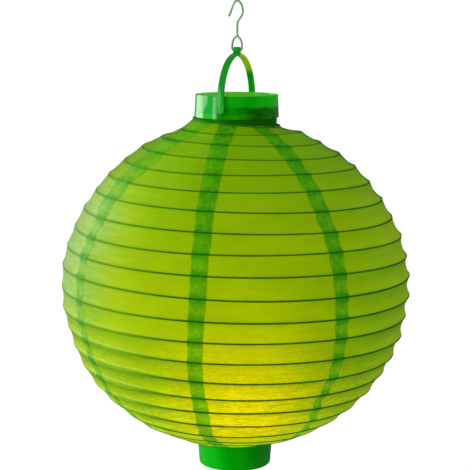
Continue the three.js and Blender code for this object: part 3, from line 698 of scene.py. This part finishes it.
def collar_zones(k, vec, col):
    """Painted light and shade on the collar: the side towards the strip lights painted paler with a painted reflection
    down its lip; painted shade where the module behind the wall darkens its lower part, most on one side, with a
    painted brighter strip below; painted highlights up the moulding's ribs; painted shade under the lip; the bore above
    painted bright, as lit through.
    """
    x, y, z = k.sep(vec)
    across = k.math("ADD", k.math("MULTIPLY", x, -0.352), k.math("MULTIPLY", y, 0.936))
    radius = k.math("SQRT", k.math("ADD", k.math("MULTIPLY", x, x), k.math("MULTIPLY", y, y)))
    wob = k.math("MULTIPLY_ADD", k.noise(vec, 90, 3), 0.0036, -0.0018)
    zw = k.math("ADD", z, wob)
    swirl = k.ramp(k.noise(k.obj((1, 1, 2.0)), 55, 4, 0.6, 1.2), 0.35, 0.65, 0.72, 1.0)
    # painted light: the side towards the strip lights is painted paler green
    pale = k.ramp(across, -0.0125, -0.0165)
    col = k.mix(pale, col, (0.006, 0.355, 0.022, 1))
    # painted reflection: a pale streak of a strip light's reflection down the lip, on the side towards the strip lights
    lip_reflection = k.math("MULTIPLY", k.ramp(across, -0.0268, -0.0260), k.ramp(k.math("SUBTRACT", across, k.ramp(z, (124 - SEAT) * MM, (134 - SEAT) * MM, 0.0, 0.003)), -0.0228, -0.0240))
    col = k.mix(k.math("MULTIPLY", lip_reflection, k.ramp(k.noise(k.obj((1, 1, 0.25)), 260, 3), 0.3, 0.6, 0.55, 0.95)), col, (0.17, 0.50, 0.17, 1))
    # painted shade: darker bands where the module behind the wall keeps light from coming through, most on one side
    first = k.math("MULTIPLY", k.ramp(zw, (130.9 - SEAT) * MM, (128.3 - SEAT) * MM), k.ramp(across, -0.0165, -0.0125))
    col = k.mix(k.math("MULTIPLY", first, swirl), col, k.mix(1.0, col, (0.7, 0.60, 0.4, 1), "MULTIPLY"))
    second = k.math("MULTIPLY", k.ramp(zw, (130.6 - SEAT) * MM, (127.6 - SEAT) * MM), k.ramp(across, -0.004, 0.013, 0.0, 1.0))
    col = k.mix(k.math("MULTIPLY", second, swirl), col, k.mix(1.0, col, (1.2, 0.44, 0.5, 1), "MULTIPLY"))
    # painted light: a brighter strip below the dark bands
    strip = k.math("MULTIPLY", k.ramp(zw, (125.2 - SEAT) * MM, (123.6 - SEAT) * MM), k.ramp(across, 0.016, 0.006))
    col = k.mix(k.math("MULTIPLY", strip, 0.8), col, k.mix(1.0, k.mix(1.0, col, (1.4, 1.4, 1.2, 1), "MULTIPLY"), (0.008, 0.0, 0.0, 1), "ADD"))
    # painted highlights: faint bright lines up the moulding, where its ribs are
    flute = k.math("MULTIPLY", k.ramp(k.noise(k.obj((1, 1, 0.03)), 420, 1, 0.4), 0.60, 0.72), k.ramp(across, -0.011, -0.008))
    col = k.mix(k.math("MULTIPLY", flute, 0.35), col, k.mix(1.0, k.mix(1.0, col, (1.5, 1.35, 1.5, 1), "MULTIPLY"), (0.006, 0.02, 0.003, 0), "ADD"))
    # painted shade under the lip: the neck is painted dark, less so on the side towards the strip lights
    neck = k.ramp(z, (121.2 - SEAT) * MM, (120.6 - SEAT) * MM)
    dim = k.ramp(across, -0.021, 0.0)
    neck_col = k.mix(dim, (0.008, 0.29, 0.002, 1), k.mix(k.ramp(across, 0.0, 0.02), (0.004, 0.115, 0.0004, 1), (0.009, 0.072, 0.0004, 1)))
    col = k.mix(neck, col, neck_col)
    # painted light: the bore is painted bright green, as lit through
    bore = k.math("MULTIPLY", k.ramp(radius, 0.02835, 0.0280), k.ramp(z, (127.5 - SEAT) * MM, (129 - SEAT) * MM))
    return k.mix(bore, col, k.mix(k.ramp(across, -0.018, 0.016), (0.17, 0.72, 0.045, 1), (0.09, 0.62, 0.02, 1)))


def collar_gloss(k, vec):
    """Under the lip the moulding is matt."""
    x, y, z = k.sep(vec)
    return k.ramp(z, (121.2 - SEAT) * MM, (120.4 - SEAT) * MM, 1.0, 0.08)


def handle_zones(k, vec, col):
    """Painted light and shade on the strap: its far shoulder and far leg painted lighter, as light coming through them;
    its near leg painted darker high up, with a painted highlight streak low down.
    """
    x, y, z = k.sep(vec)
    # painted light: the far shoulder is painted yellow-green, as light coming through it
    f = k.math("MULTIPLY", k.ramp(x, 0.0005, -0.004), k.ramp(z, (149.5 - SEAT) * MM, (155.5 - SEAT) * MM))
    f = k.math("MULTIPLY", f, k.ramp(z, (167.5 - SEAT) * MM, (164.5 - SEAT) * MM))
    f = k.math("MULTIPLY", f, k.ramp(k.noise(vec, 160, 3), 0.25, 0.6, 0.7, 1.0))
    col = k.mix(f, col, (0.37, 0.62, 0.004, 1))
    near = k.ramp(x, 0.0, 0.006)
    # painted light: the far leg is painted brighter low down
    col = k.mix(k.math("MULTIPLY", k.ramp(x, 0.0, -0.006), k.ramp(z, (150 - SEAT) * MM, (144 - SEAT) * MM)), col, k.mix(1.0, col, (1.0, 1.55, 0.6, 1), "MULTIPLY"))
    # painted shade: the near leg is painted darker high up
    high = k.math("MULTIPLY", near, k.ramp(z, (139 - SEAT) * MM, (150 - SEAT) * MM))
    col = k.mix(high, col, k.mix(1.0, col, (1.0, 0.84, 0.75, 1), "MULTIPLY"))
    # painted highlight: a pale streak down the near leg, low down
    strap_highlight = k.math("MULTIPLY", k.ramp(y, -0.0021, -0.0012), k.ramp(y, 0.0008, -0.0004))
    strap_highlight = k.math("MULTIPLY", strap_highlight, k.math("MULTIPLY", near, k.ramp(z, (146 - SEAT) * MM, (138 - SEAT) * MM)))
    strap_highlight = k.math("MULTIPLY", strap_highlight, k.ramp(k.noise(k.obj((1, 1, 0.4)), 300, 3), 0.3, 0.6, 0.3, 1.0))
    return k.mix(k.math("MULTIPLY", strap_highlight, 0.40), col, (0.16, 0.55, 0.20, 1))


def cup_zones(k, vec, col):
    """Painted light and shade: the side towards the strip lights is painted lighter and the other side darker."""
    x, y, z = k.sep(vec)
    across = k.math("ADD", k.math("MULTIPLY", x, -0.352), k.math("MULTIPLY", y, 0.936))
    col = k.mix(k.ramp(across, -0.001, -0.017), col, k.mix(1.0, col, (1.0, 1.5, 3.0, 1), "MULTIPLY"))
    return k.mix(k.ramp(across, 0.002, 0.020), col, k.mix(1.0, col, (1.0, 0.60, 0.9, 1), "MULTIPLY"))


PALE = (0.6, 1.0, 0.6)
COLLAR = plastic("collar_plastic", (0.001, 0.25, 0.001), (0.004, 0.34, 0.003), 0.13, 0.5, scale=30, tint=(0.8, 1.0, 0.8), zones=collar_zones, ripple=1.2, gloss=collar_gloss, tint_to=(-0.0125, -0.009, (0.08, 1.0, 0.04)))
HANDLE = plastic("handle_plastic", (0.001, 0.25, 0.008), (0.010, 0.40, 0.012), 0.24, 0.3, scale=45, tint=PALE, zones=handle_zones)
CUP = plastic("cup_plastic", (0.0005, 0.245, 0.0005), (0.002, 0.30, 0.003), 0.3, 0.14, scale=28, tint=(1.0, 1.0, 1.0), zones=cup_zones, tint_to=(-0.024, -0.018, (0.02, 1.0, 0.02)))
MODULE = plastic("module_plastic", (0.03, 0.20, 0.01), (0.06, 0.28, 0.015), 0.4, 0.4, scale=50)
BLACK = plastic("black_plastic", (0.012, 0.013, 0.012), (0.03, 0.03, 0.03), 0.5, 0.4, scale=90)
RUBBER = plastic("black_rubber", (0.014, 0.014, 0.013), (0.026, 0.026, 0.025), 0.75, 0.3, scale=120)
BOARD_WHITE = plastic("backing_board", (0.7, 0.72, 0.68), (0.8, 0.82, 0.78), 0.6, 0.4, scale=60)
CELL = plastic("cell_case", (0.03, 0.13, 0.36), (0.05, 0.18, 0.45), 0.35, 0.5, scale=60)
DIFFUSER = plastic("diffuser_plastic", (0.85, 0.85, 0.72), (0.93, 0.93, 0.8), 0.5, 0.4, scale=60, emit=(1.0, 0.80, 0.30, 1.6))
LED = plastic("led_lens", (0.95, 0.9, 0.6), (1.0, 0.95, 0.7), 0.2, 0.5, scale=200, emit=(1.0, 0.82, 0.3, 4.0))
LEAD = plastic("lead_sheath", (0.015, 0.015, 0.015), (0.03, 0.03, 0.03), 0.5, 0.4, scale=150)
# steel wire: its grey is tinted green, a painted reflection of the green cloth and plastic round it
WIRE = metal("steel_wire", (0.20, 0.40, 0.17), (0.36, 0.58, 0.32), 0.34, metallic=0.55)
RIBM = metal("rib_steel", (0.06, 0.17, 0.02), (0.10, 0.24, 0.04), 0.45)
SCREW = metal("zinc_screw", (0.55, 0.56, 0.54), (0.66, 0.67, 0.65), 0.3)
CONTACT = metal("contact_metal", (0.62, 0.63, 0.6), (0.74, 0.75, 0.72), 0.25)


def board_material():
    k = Mat("circuit_board")
    tracks = k.n("ShaderNodeTexVoronoi", feature="DISTANCE_TO_EDGE")
    k.put(tracks.inputs["Vector"], k.obj())
    tracks.inputs["Scale"].default_value = 260
    f = k.ramp(tracks.outputs["Distance"], 0.04, 0.08, 1, 0)
    col = k.mix(f, (0.01, 0.09, 0.03, 1), (0.02, 0.18, 0.06, 1))
    p = k.principled(Base_Color=col, Roughness=0.35, Normal=k.bump(f, 0.3, 0.0002))
    return k.done(p.outputs[0])


def solar_material():
    """Dark blue film with thin conductor lines and a wider joint every few cells."""
    k = Mat("solar_film")
    x, y, z = k.sep(k.obj())
    fine = k.math("ABSOLUTE", k.math("SUBTRACT", k.math("FRACT", k.math("MULTIPLY", y, 1 / 0.0016)), 0.5))
    wide = k.math("ABSOLUTE", k.math("SUBTRACT", k.math("FRACT", k.math("MULTIPLY_ADD", x, 1 / 0.0085, 0.5)), 0.5))
    lines = k.ramp(fine, 0.44, 0.47)
    bars = k.ramp(wide, 0.465, 0.48)
    tone = k.noise(k.obj(), 180, 4, 0.7)
    base = k.mix(tone, (0.004, 0.010, 0.045, 1), (0.012, 0.030, 0.11, 1))
    col = k.mix(k.math("MULTIPLY", lines, 0.55), base, (0.25, 0.30, 0.36, 1))
    col = k.mix(bars, col, (0.5, 0.52, 0.52, 1))
    p = k.principled(Base_Color=col, Roughness=0.22, Specular_IOR_Level=0.6)
    return k.done(p.outputs[0])


def window_material():
    k = Mat("clear_window")
    h = k.noise(k.obj(), 90, 3)
    p = k.principled(
        Base_Color=(0.010, 0.014, 0.020, 1), Roughness=k.math("MULTIPLY_ADD", h, 0.05, 0.03), IOR=1.45, Alpha=0.24,
        Normal=k.bump(h, 0.08, 0.0006),
    )
    return k.done(p.outputs[0])


BOARD, SOLAR, WINDOW = board_material(), solar_material(), window_material()

# ------------------------------------------------------------------ fabric globe
flat, faces, vband, dist, azv, rv, zv = build_skin()
skin = make("lantern_skin_cloth", [P(*v) for v in flat], faces, FABRIC, "lantern_top", replaces=["lantern_skin"])
me = skin.data
for name, values in (
    ("rib_mm", dist),
    ("seam_mm", seam_distance(azv, zv, rv)),
    ("glow", glow_at(azv, zv)),
    ("sheen_and_wear", sheen_and_wear_at(azv, zv)),
    ("tone", painted_shade_at(azv, zv)),
):
    a = me.attributes.new(name, "FLOAT", "POINT")
    a.data.foreach_set("value", np.asarray(values, np.float32))
a = me.attributes.new("band", "FLOAT", "CORNER")
corner = [v for w in vband for v in w]
if len(corner) == len(me.loops):
    a.data.foreach_set("value", np.array(corner, np.float32))
bm = bmesh.new()
bm.from_mesh(me)
bmesh.ops.recalc_face_normals(bm, faces=bm.faces)
out = sum(f.normal.dot(f.calc_center_median() - P(0, 0, 0)) for f in list(bm.faces)[::97])
if out < 0:
    bmesh.ops.reverse_faces(bm, faces=bm.faces)
bm.to_mesh(me)
bm.free()


def folds(o):
    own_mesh(o)
    return o


folds(skin)

az = np.radians(np.arange(0, 360, 2.0))
er, ez = edge_top(np.degrees(az))
hem = [(r * math.cos(a), r * math.sin(a), z) for a, r, z in zip(az, er - 0.15, ez + 0.25)]
v, f = tube(hem, 0.7, 10, closed=True)
make("upper_hem", v, f, HEM, "lantern_top")
er, ez = edge_bottom(np.degrees(az))
hem = [(r * math.cos(a), r * math.sin(a), z) for a, r, z in zip(az, er - 0.25, ez + 0.2)]
v, f = tube(hem, 0.6, 10, closed=True)
make("lower_hem", v, f, HEM, "lantern_base")

# the rib itself, close under the cloth
psi = np.arange(PSI0 + 40, PSI1 - 30, 4.0)
r, z = rib(psi)
nr, nz = r / GLOBE_R, z / GLOBE_H
nn = np.hypot(nr, nz)
r, z = r - 0.95 * nr / nn, z - 0.95 * nz / nn
v, f = tube([(a * math.cos(t), a * math.sin(t), b) for a, b, t in zip(r, z, np.radians(psi))], 0.6, 6)
folds(make("rib_wire_round", v, f, RIBM, "lantern_top", replaces=["rib_wire"]))

# lead from the module down to the base
# (upright beside the lamp, so that it folds clear of the diffuser when the globe is pushed flat)
lead = catmull(
    [(0, 0, 117.5), (0, 0, 113), (0, 0, 108), (-0.8, 0.2, 98), (-4.5, 1.5, 80), (-10.5, 3.0, 62), (-16.0, 2.6, 46), (-18.6, 0.8, 32),
     (-18.8, 0, 20), (-18.8, 0, -10), (-18.8, 0, -40), (-18.8, 0, -70), (-18.8, 0, -95), (-18.8, 0, -111), (-18.8, 0, -118)], 6)
v, f = tube(lead, 1.1, 10)
folds(make("lamp_lead_sheath", v, f, LEAD, "lantern_top", replaces=["lamp_lead"]))

# ------------------------------------------------------------------ collar
collar = rounded(
    [(24.6, 111.6), (30.2, 111.6), (30.2, 112.8), (28.6, 113.1), (28.6, 121), (30.0, 121), (29.25, 136.95), (27.6, 136.95),
     (27.6, 128.4), (26.95, 127.7), (27.6, 127.3), (27.6, 113.5), (24.6, 113.5)],
    [0.3, 0.3, 0.2, 0.2, 0.15, 0.35, 0.55, 0.5, 0.2, 0.2, 0.1, 0.2, 0.3], 4,
)
v, f = lathe(collar, 192)
top = make("top_collar_shell", v, f, COLLAR, "lantern_top", replaces=["top_collar"])
bm = bmesh.new()
bm.from_mesh(top.data)
bmesh.ops.recalc_face_normals(bm, faces=bm.faces)
bm.to_mesh(top.data)
bm.free()

# ------------------------------------------------------------------ handle
def handle_mesh():
    """Flat strap bent to a half circle, with softened edges, swept as one closed section."""
    path = []
    for z in np.linspace(127, 133.5, 8)[:-1]:
        path.append(((31.5, z), (1.0, 0.0)))
    for a in np.radians(np.linspace(0, 180, 97)):
        path.append(((31.5 * math.cos(a), 133.5 + 31.5 * math.sin(a)), (math.cos(a), math.sin(a))))
    for z in np.linspace(133.5, 127, 8)[1:]:
        path.append(((-31.5, z), (-1.0, 0.0)))
    w, t, b = 2.3, 0.9, 0.38
    sec = []
    for cx, cy, a0 in ((t - b, w - b, 0), (-(t - b), w - b, 90), (-(t - b), -(w - b), 180), (t - b, -(w - b), 270)):
        for k in range(5):
            a = math.radians(a0 + 90 * k / 4)
            sec.append((cx + b * math.cos(a), cy + b * math.sin(a)))
    verts, faces = [], []
    m = len(sec)
    for (x, z), (ox, oz) in path:
        for s, y in sec:
            verts.append(P(x + ox * s, y, z + oz * s))
    for i in range(len(path) - 1):
        for k in range(m):
            l = (k + 1) % m
            faces.append((i * m + k, i * m + l, (i + 1) * m + l, (i + 1) * m + k))
    faces.append(tuple(range(m))[::-1])
    faces.append(tuple((len(path) - 1) * m + k for k in range(m)))
    return verts, faces


def cylinder_part(r, half, axis, at, segs=40, edge=0.3):
    """Round boss or stub with rolled edges, along axis 'x', 'y' or 'z'."""
    prof = [(0, -half), (r - edge, -half)]
    for k in range(1, 5):
        a = math.radians(90 * k / 4)
        prof.append((r - edge + edge * math.sin(a), -half + edge - edge * math.cos(a)))
    prof += [(q, -h) for q, h in prof[::-1]]
    verts, faces = [], []
    rings = []
    for q, h in prof:
        if q == 0:
            pts = [(0, 0, h)]
        else:
            pts = [(q * math.cos(2 * math.pi * i / segs), q * math.sin(2 * math.pi * i / segs), h) for i in range(segs)]
        ring = []
        for a, b, c in pts:
            ring.append(len(verts))
            x, y, z = {"x": (c, a, b), "y": (a, c, b), "z": (a, b, c)}[axis]
            verts.append(P(at[0] + x, at[1] + y, at[2] + z))
        rings.append(ring)
    for a, b in zip(rings, rings[1:]):
        for i in range(segs):
            j = (i + 1) % segs
            if len(a) == 1:
                faces.append((a[0], b[i], b[j]))
            elif len(b) == 1:
                faces.append((a[i], b[0], a[j]))
            else:
                faces.append((a[i], b[i], b[j], a[j]))
    return verts, faces


def fuse(o, others, op="UNION"):
    """Boolean of meshes, applied, so the piece is one body."""
    for v, f in others:
        tool = bpy.data.objects.new("tool", bpy.data.meshes.new("tool"))
        tool.data.from_pydata([tuple(p) for p in v], [], f)
        bm = bmesh.new()
        bm.from_mesh(tool.data)
        bmesh.ops.recalc_face_normals(bm, faces=bm.faces)
        bm.to_mesh(tool.data)
        bm.free()
        bpy.context.scene.collection.objects.link(tool)
        mod = o.modifiers.new("cut", "BOOLEAN")
        mod.operation, mod.object, mod.solver = op, tool, "EXACT"
        dg = bpy.context.evaluated_depsgraph_get()
        new = bpy.data.meshes.new_from_object(o.evaluated_get(dg))
        o.modifiers.clear()
        old = o.data
        mats = [m for m in old.materials]
        o.data = new
        new.materials.clear()
        for m in mats:
            new.materials.append(m)
        bpy.data.objects.remove(tool)
    return o


def recalc(o):
    bm = bmesh.new()
    bm.from_mesh(o.data)
    bmesh.ops.recalc_face_normals(bm, faces=bm.faces)
    bm.to_mesh(o.data)
    bm.free()


def shade_by_angle(o, angle=35):
    me = o.data
    me.polygons.foreach_set("use_smooth", [True] * len(me.polygons))
    bm = bmesh.new()
    bm.from_mesh(me)
    for e in bm.edges:
        if len(e.link_faces) == 2:
            e.smooth = e.calc_face_angle(0) < math.radians(angle)
    bm.to_mesh(me)
    bm.free()


def box_mesh(x0, x1, y0, y1, z0, z1):
    v = [P(x, y, z) for x in (x0, x1) for y in (y0, y1) for z in (z0, z1)]
    f = [(0, 1, 3, 2), (4, 6, 7, 5), (0, 4, 5, 1), (2, 3, 7, 6), (0, 2, 6, 4), (1, 5, 7, 3)]
    return v, f


v, f = handle_mesh()
handle = make("carry_handle_strap", v, f, HANDLE, "handle", replaces=["carry_handle"])
recalc(handle)
fuse(handle, [
    cylinder_part(2.35, 0.9, "x", (31.5, 0, 127)), cylinder_part(2.35, 0.9, "x", (-31.5, 0, 127)),
    cylinder_part(1.5, 1.55, "x", (29.25, 0, 127), 24, 0.2), cylinder_part(1.5, 1.55, "x", (-29.25, 0, 127), 24, 0.2),
    cylinder_part(2.3, 2.3, "y", (0, 0, 167.9), 40, 0.4),
])
fuse(handle, [box_mesh(-1.9, 1.9, -2.25, 2.25, 164.9, 167.9)])
fuse(handle, [cylinder_part(1.15, 4, "y", (0, 0, 167.9), 24, 0.01)], "DIFFERENCE")
shade_by_angle(handle, 40)

# ------------------------------------------------------------------ hook
H = 202.35
yz = [
    (-6.3, H - 10.8), (-5.3, H - 9.0), (-4.45, H - 6.6), (-3.5, H - 4.2), (-2.4, H - 1.9), (-1.2, H - 0.4), (0, H),
    (1.2, H - 0.4), (2.45, H - 1.6), (3.5, H - 3.6), (4.1, H - 5.9), (4.15, H - 8.0), (3.6, H - 10.0), (2.4, H - 11.8),
    (1.15, H - 13.5), (0.4, H - 15.1), (0.15, H - 17.1), (0.1, H - 20.1), (0.1, H - 22.7), (0.3, H - 24.5), (1.35, H - 25.6),
    (2.55, H - 26.9), (3.3, H - 28.7), (3.65, H - 30.7), (3.72, H - 32.5), (3.58, H - 33.6), (3.08, H - 34.2), (2.35, 167.9),
    (1.1, 167.9), (0, 167.9), (-1.1, 167.9), (-2.35, 167.9), (-3.08, H - 34.2), (-3.58, H - 33.6), (-3.72, H - 32.5),
    (-3.65, H - 30.7), (-3.3, H - 28.7), (-2.55, H - 26.9), (-1.35, H - 25.6), (-0.4, H - 24.8),
]
line = catmull([(0, y, z) for y, z in yz], 8)
v, f = tube(line, 0.8, 16)
make("hook_wire", v, f, WIRE, "hook", replaces=["hanging_hook"])

# ------------------------------------------------------------------ base cup
cup = rounded(
    [(0, -132.5), (25.95, -132.5), (27.3, -114.3), (25.6, -114.3), (25.6, -112.2), (24.1, -112.2), (24.1, -130.3), (0, -130.3)],
    [0, 1.0, 0.5, 0.15, 0.2, 0.2, 0.4, 0], 6,
)
v, f = lathe(cup, 160, closed=False)
base = make("base_cup_shell", v, f, CUP, "lantern_base", replaces=["base_cup"])
recalc(base)
fuse(base, [
    box_mesh(-22.9, 22.9, -5.7, 5.7, -134, -128.3),
    box_mesh(-23.9, 23.9, -6.9, 6.9, -134, -131.1),
    box_mesh(-4.4, 4.4, 6.0, 14.2, -134, -131.1),
    box_mesh(4.6, 17.4, -16.6, -9.8, -134, -131.7),
    box_mesh(6.6, 15.4, -14.7, -11.7, -134, -129.3),
    cylinder_part(1.3, 3, "z", (0, 10.2, -131), 24, 0.05),
], "DIFFERENCE")
shade_by_angle(base, 32)

# ------------------------------------------------------------------ CAD nodes that keep their own shape
KEEPS = {
    "module_housing": MODULE, "solar_backing": BOARD_WHITE, "solar_cells": SOLAR, "panel_window": WINDOW, "module_floor": BLACK,
    "module_seal": RUBBER, "module_screw_1": SCREW, "module_screw_2": SCREW, "module_screw_3": SCREW, "upper_grommet": RUBBER,
    "top_hoop": RIBM, "bottom_hoop": RIBM, "lower_grommet": RUBBER, "lamp_deck": MODULE, "deck_screw_1": SCREW,
    "deck_screw_2": SCREW, "deck_screw_3": SCREW, "led_board": BOARD, "driver_chip": BLACK, "led": LED, "lamp_diffuser": DIFFUSER,
    "battery_cell": CELL, "battery_spring": CONTACT, "contact_negative": CONTACT, "contact_positive": CONTACT,
    "switch_body": CONTACT, "switch_knob": BLACK, "battery_door": CUP, "door_screw": SCREW,
}
for node, m in KEEPS.items():
    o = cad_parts[node]
    for s in o.material_slots:
        s.material = m

# ------------------------------------------------------------------ camera, light and floor
VA = math.radians(20.6)
toward = Vector((math.cos(VA), math.sin(VA), 0))
right = Vector((-math.sin(VA), math.cos(VA), 0))
centre = P(0, 0, 0)


def around(az, el, dist):
    """Place at an azimuth from the camera's side (positive to the camera's right), an elevation and a distance in metres."""
    a, e = math.radians(az), math.radians(el)
    return centre + dist * (math.cos(e) * (math.cos(a) * toward + math.sin(a) * right) + Vector((0, 0, math.sin(e))))


cam = bpy.data.objects.new("camera", bpy.data.cameras.new("camera"))
bpy.context.scene.collection.objects.link(cam)
bpy.context.scene.camera = cam
D, EPS, PITCH, YAW, FPX, ROLL = 1.04186, 11.0855, 9.1372, -0.0407, 1439.78, 0.2985
cam.data.sensor_width = 36
cam.data.lens = 36 * FPX / 470
e = math.radians(EPS)
cam.location = centre + D * (math.cos(e) * toward + Vector((0, 0, math.sin(e))))
pt, yw = math.radians(PITCH), math.radians(YAW)
fw = (math.cos(pt) * (math.cos(yw) * -toward + math.sin(yw) * right) + Vector((0, 0, -math.sin(pt)))).normalized()
rt = fw.cross(Vector((0, 0, 1))).normalized()
up = rt.cross(fw)
rot = Matrix((rt, up, -fw)).transposed() @ Matrix.Rotation(math.radians(ROLL), 3, "Z")
cam.rotation_mode = "QUATERNION"
cam.rotation_quaternion = rot.to_quaternion()
cam.data.clip_start, cam.data.clip_end = 0.01, 50


def area(name, az, el, dist, w, h, power, colour=(1, 1, 1)):
    l = bpy.data.lights.new(name, "AREA")
    l.shape, l.size, l.size_y, l.energy, l.color = "RECTANGLE", w, h, power, colour
    o = bpy.data.objects.new(name, l)
    bpy.context.scene.collection.objects.link(o)
    o.location = around(az, el, dist)
    o.rotation_mode = "QUATERNION"
    o.rotation_quaternion = (o.location - centre).to_track_quat("Z", "Y")
    return o


area("strip_left", -62, 8, 1.5, 0.30, 1.3, 5.4)
area("strip_back_left", -126, 8, 1.5, 0.95, 1.3, 12.5)

world = bpy.data.worlds.new("studio")
bpy.context.scene.world = world
world.use_nodes = True
nt = world.node_tree
nt.nodes.clear()
lp = nt.nodes.new("ShaderNodeLightPath")
b1, b2 = nt.nodes.new("ShaderNodeBackground"), nt.nodes.new("ShaderNodeBackground")
b1.inputs["Color"].default_value = b2.inputs["Color"].default_value = (1, 1, 1, 1)
b1.inputs["Strength"].default_value = 1.05
b2.inputs["Strength"].default_value = 0.15
mx, wo = nt.nodes.new("ShaderNodeMixShader"), nt.nodes.new("ShaderNodeOutputWorld")
nt.links.new(lp.outputs["Is Glossy Ray"], mx.inputs[0])
nt.links.new(b1.outputs[0], mx.inputs[1])
nt.links.new(b2.outputs[0], mx.inputs[2])
nt.links.new(mx.outputs[0], wo.inputs["Surface"])

k = Mat("pale_floor")
FLOOR = k.done(k.principled(Base_Color=(0.985, 0.985, 0.985, 1), Roughness=0.9, Specular_IOR_Level=0.0).outputs[0])
me = bpy.data.meshes.new("floor")
fz = -3.0
me.from_pydata([(-30, -30, fz), (30, -30, fz), (30, 30, fz), (-30, 30, fz)], [], [(0, 1, 2, 3)])
me.materials.append(FLOOR)
floor = bpy.data.objects.new("floor", me)
bpy.context.scene.collection.objects.link(floor)
floor.visible_glossy = False

bpy.context.scene.view_settings.view_transform = "Standard"
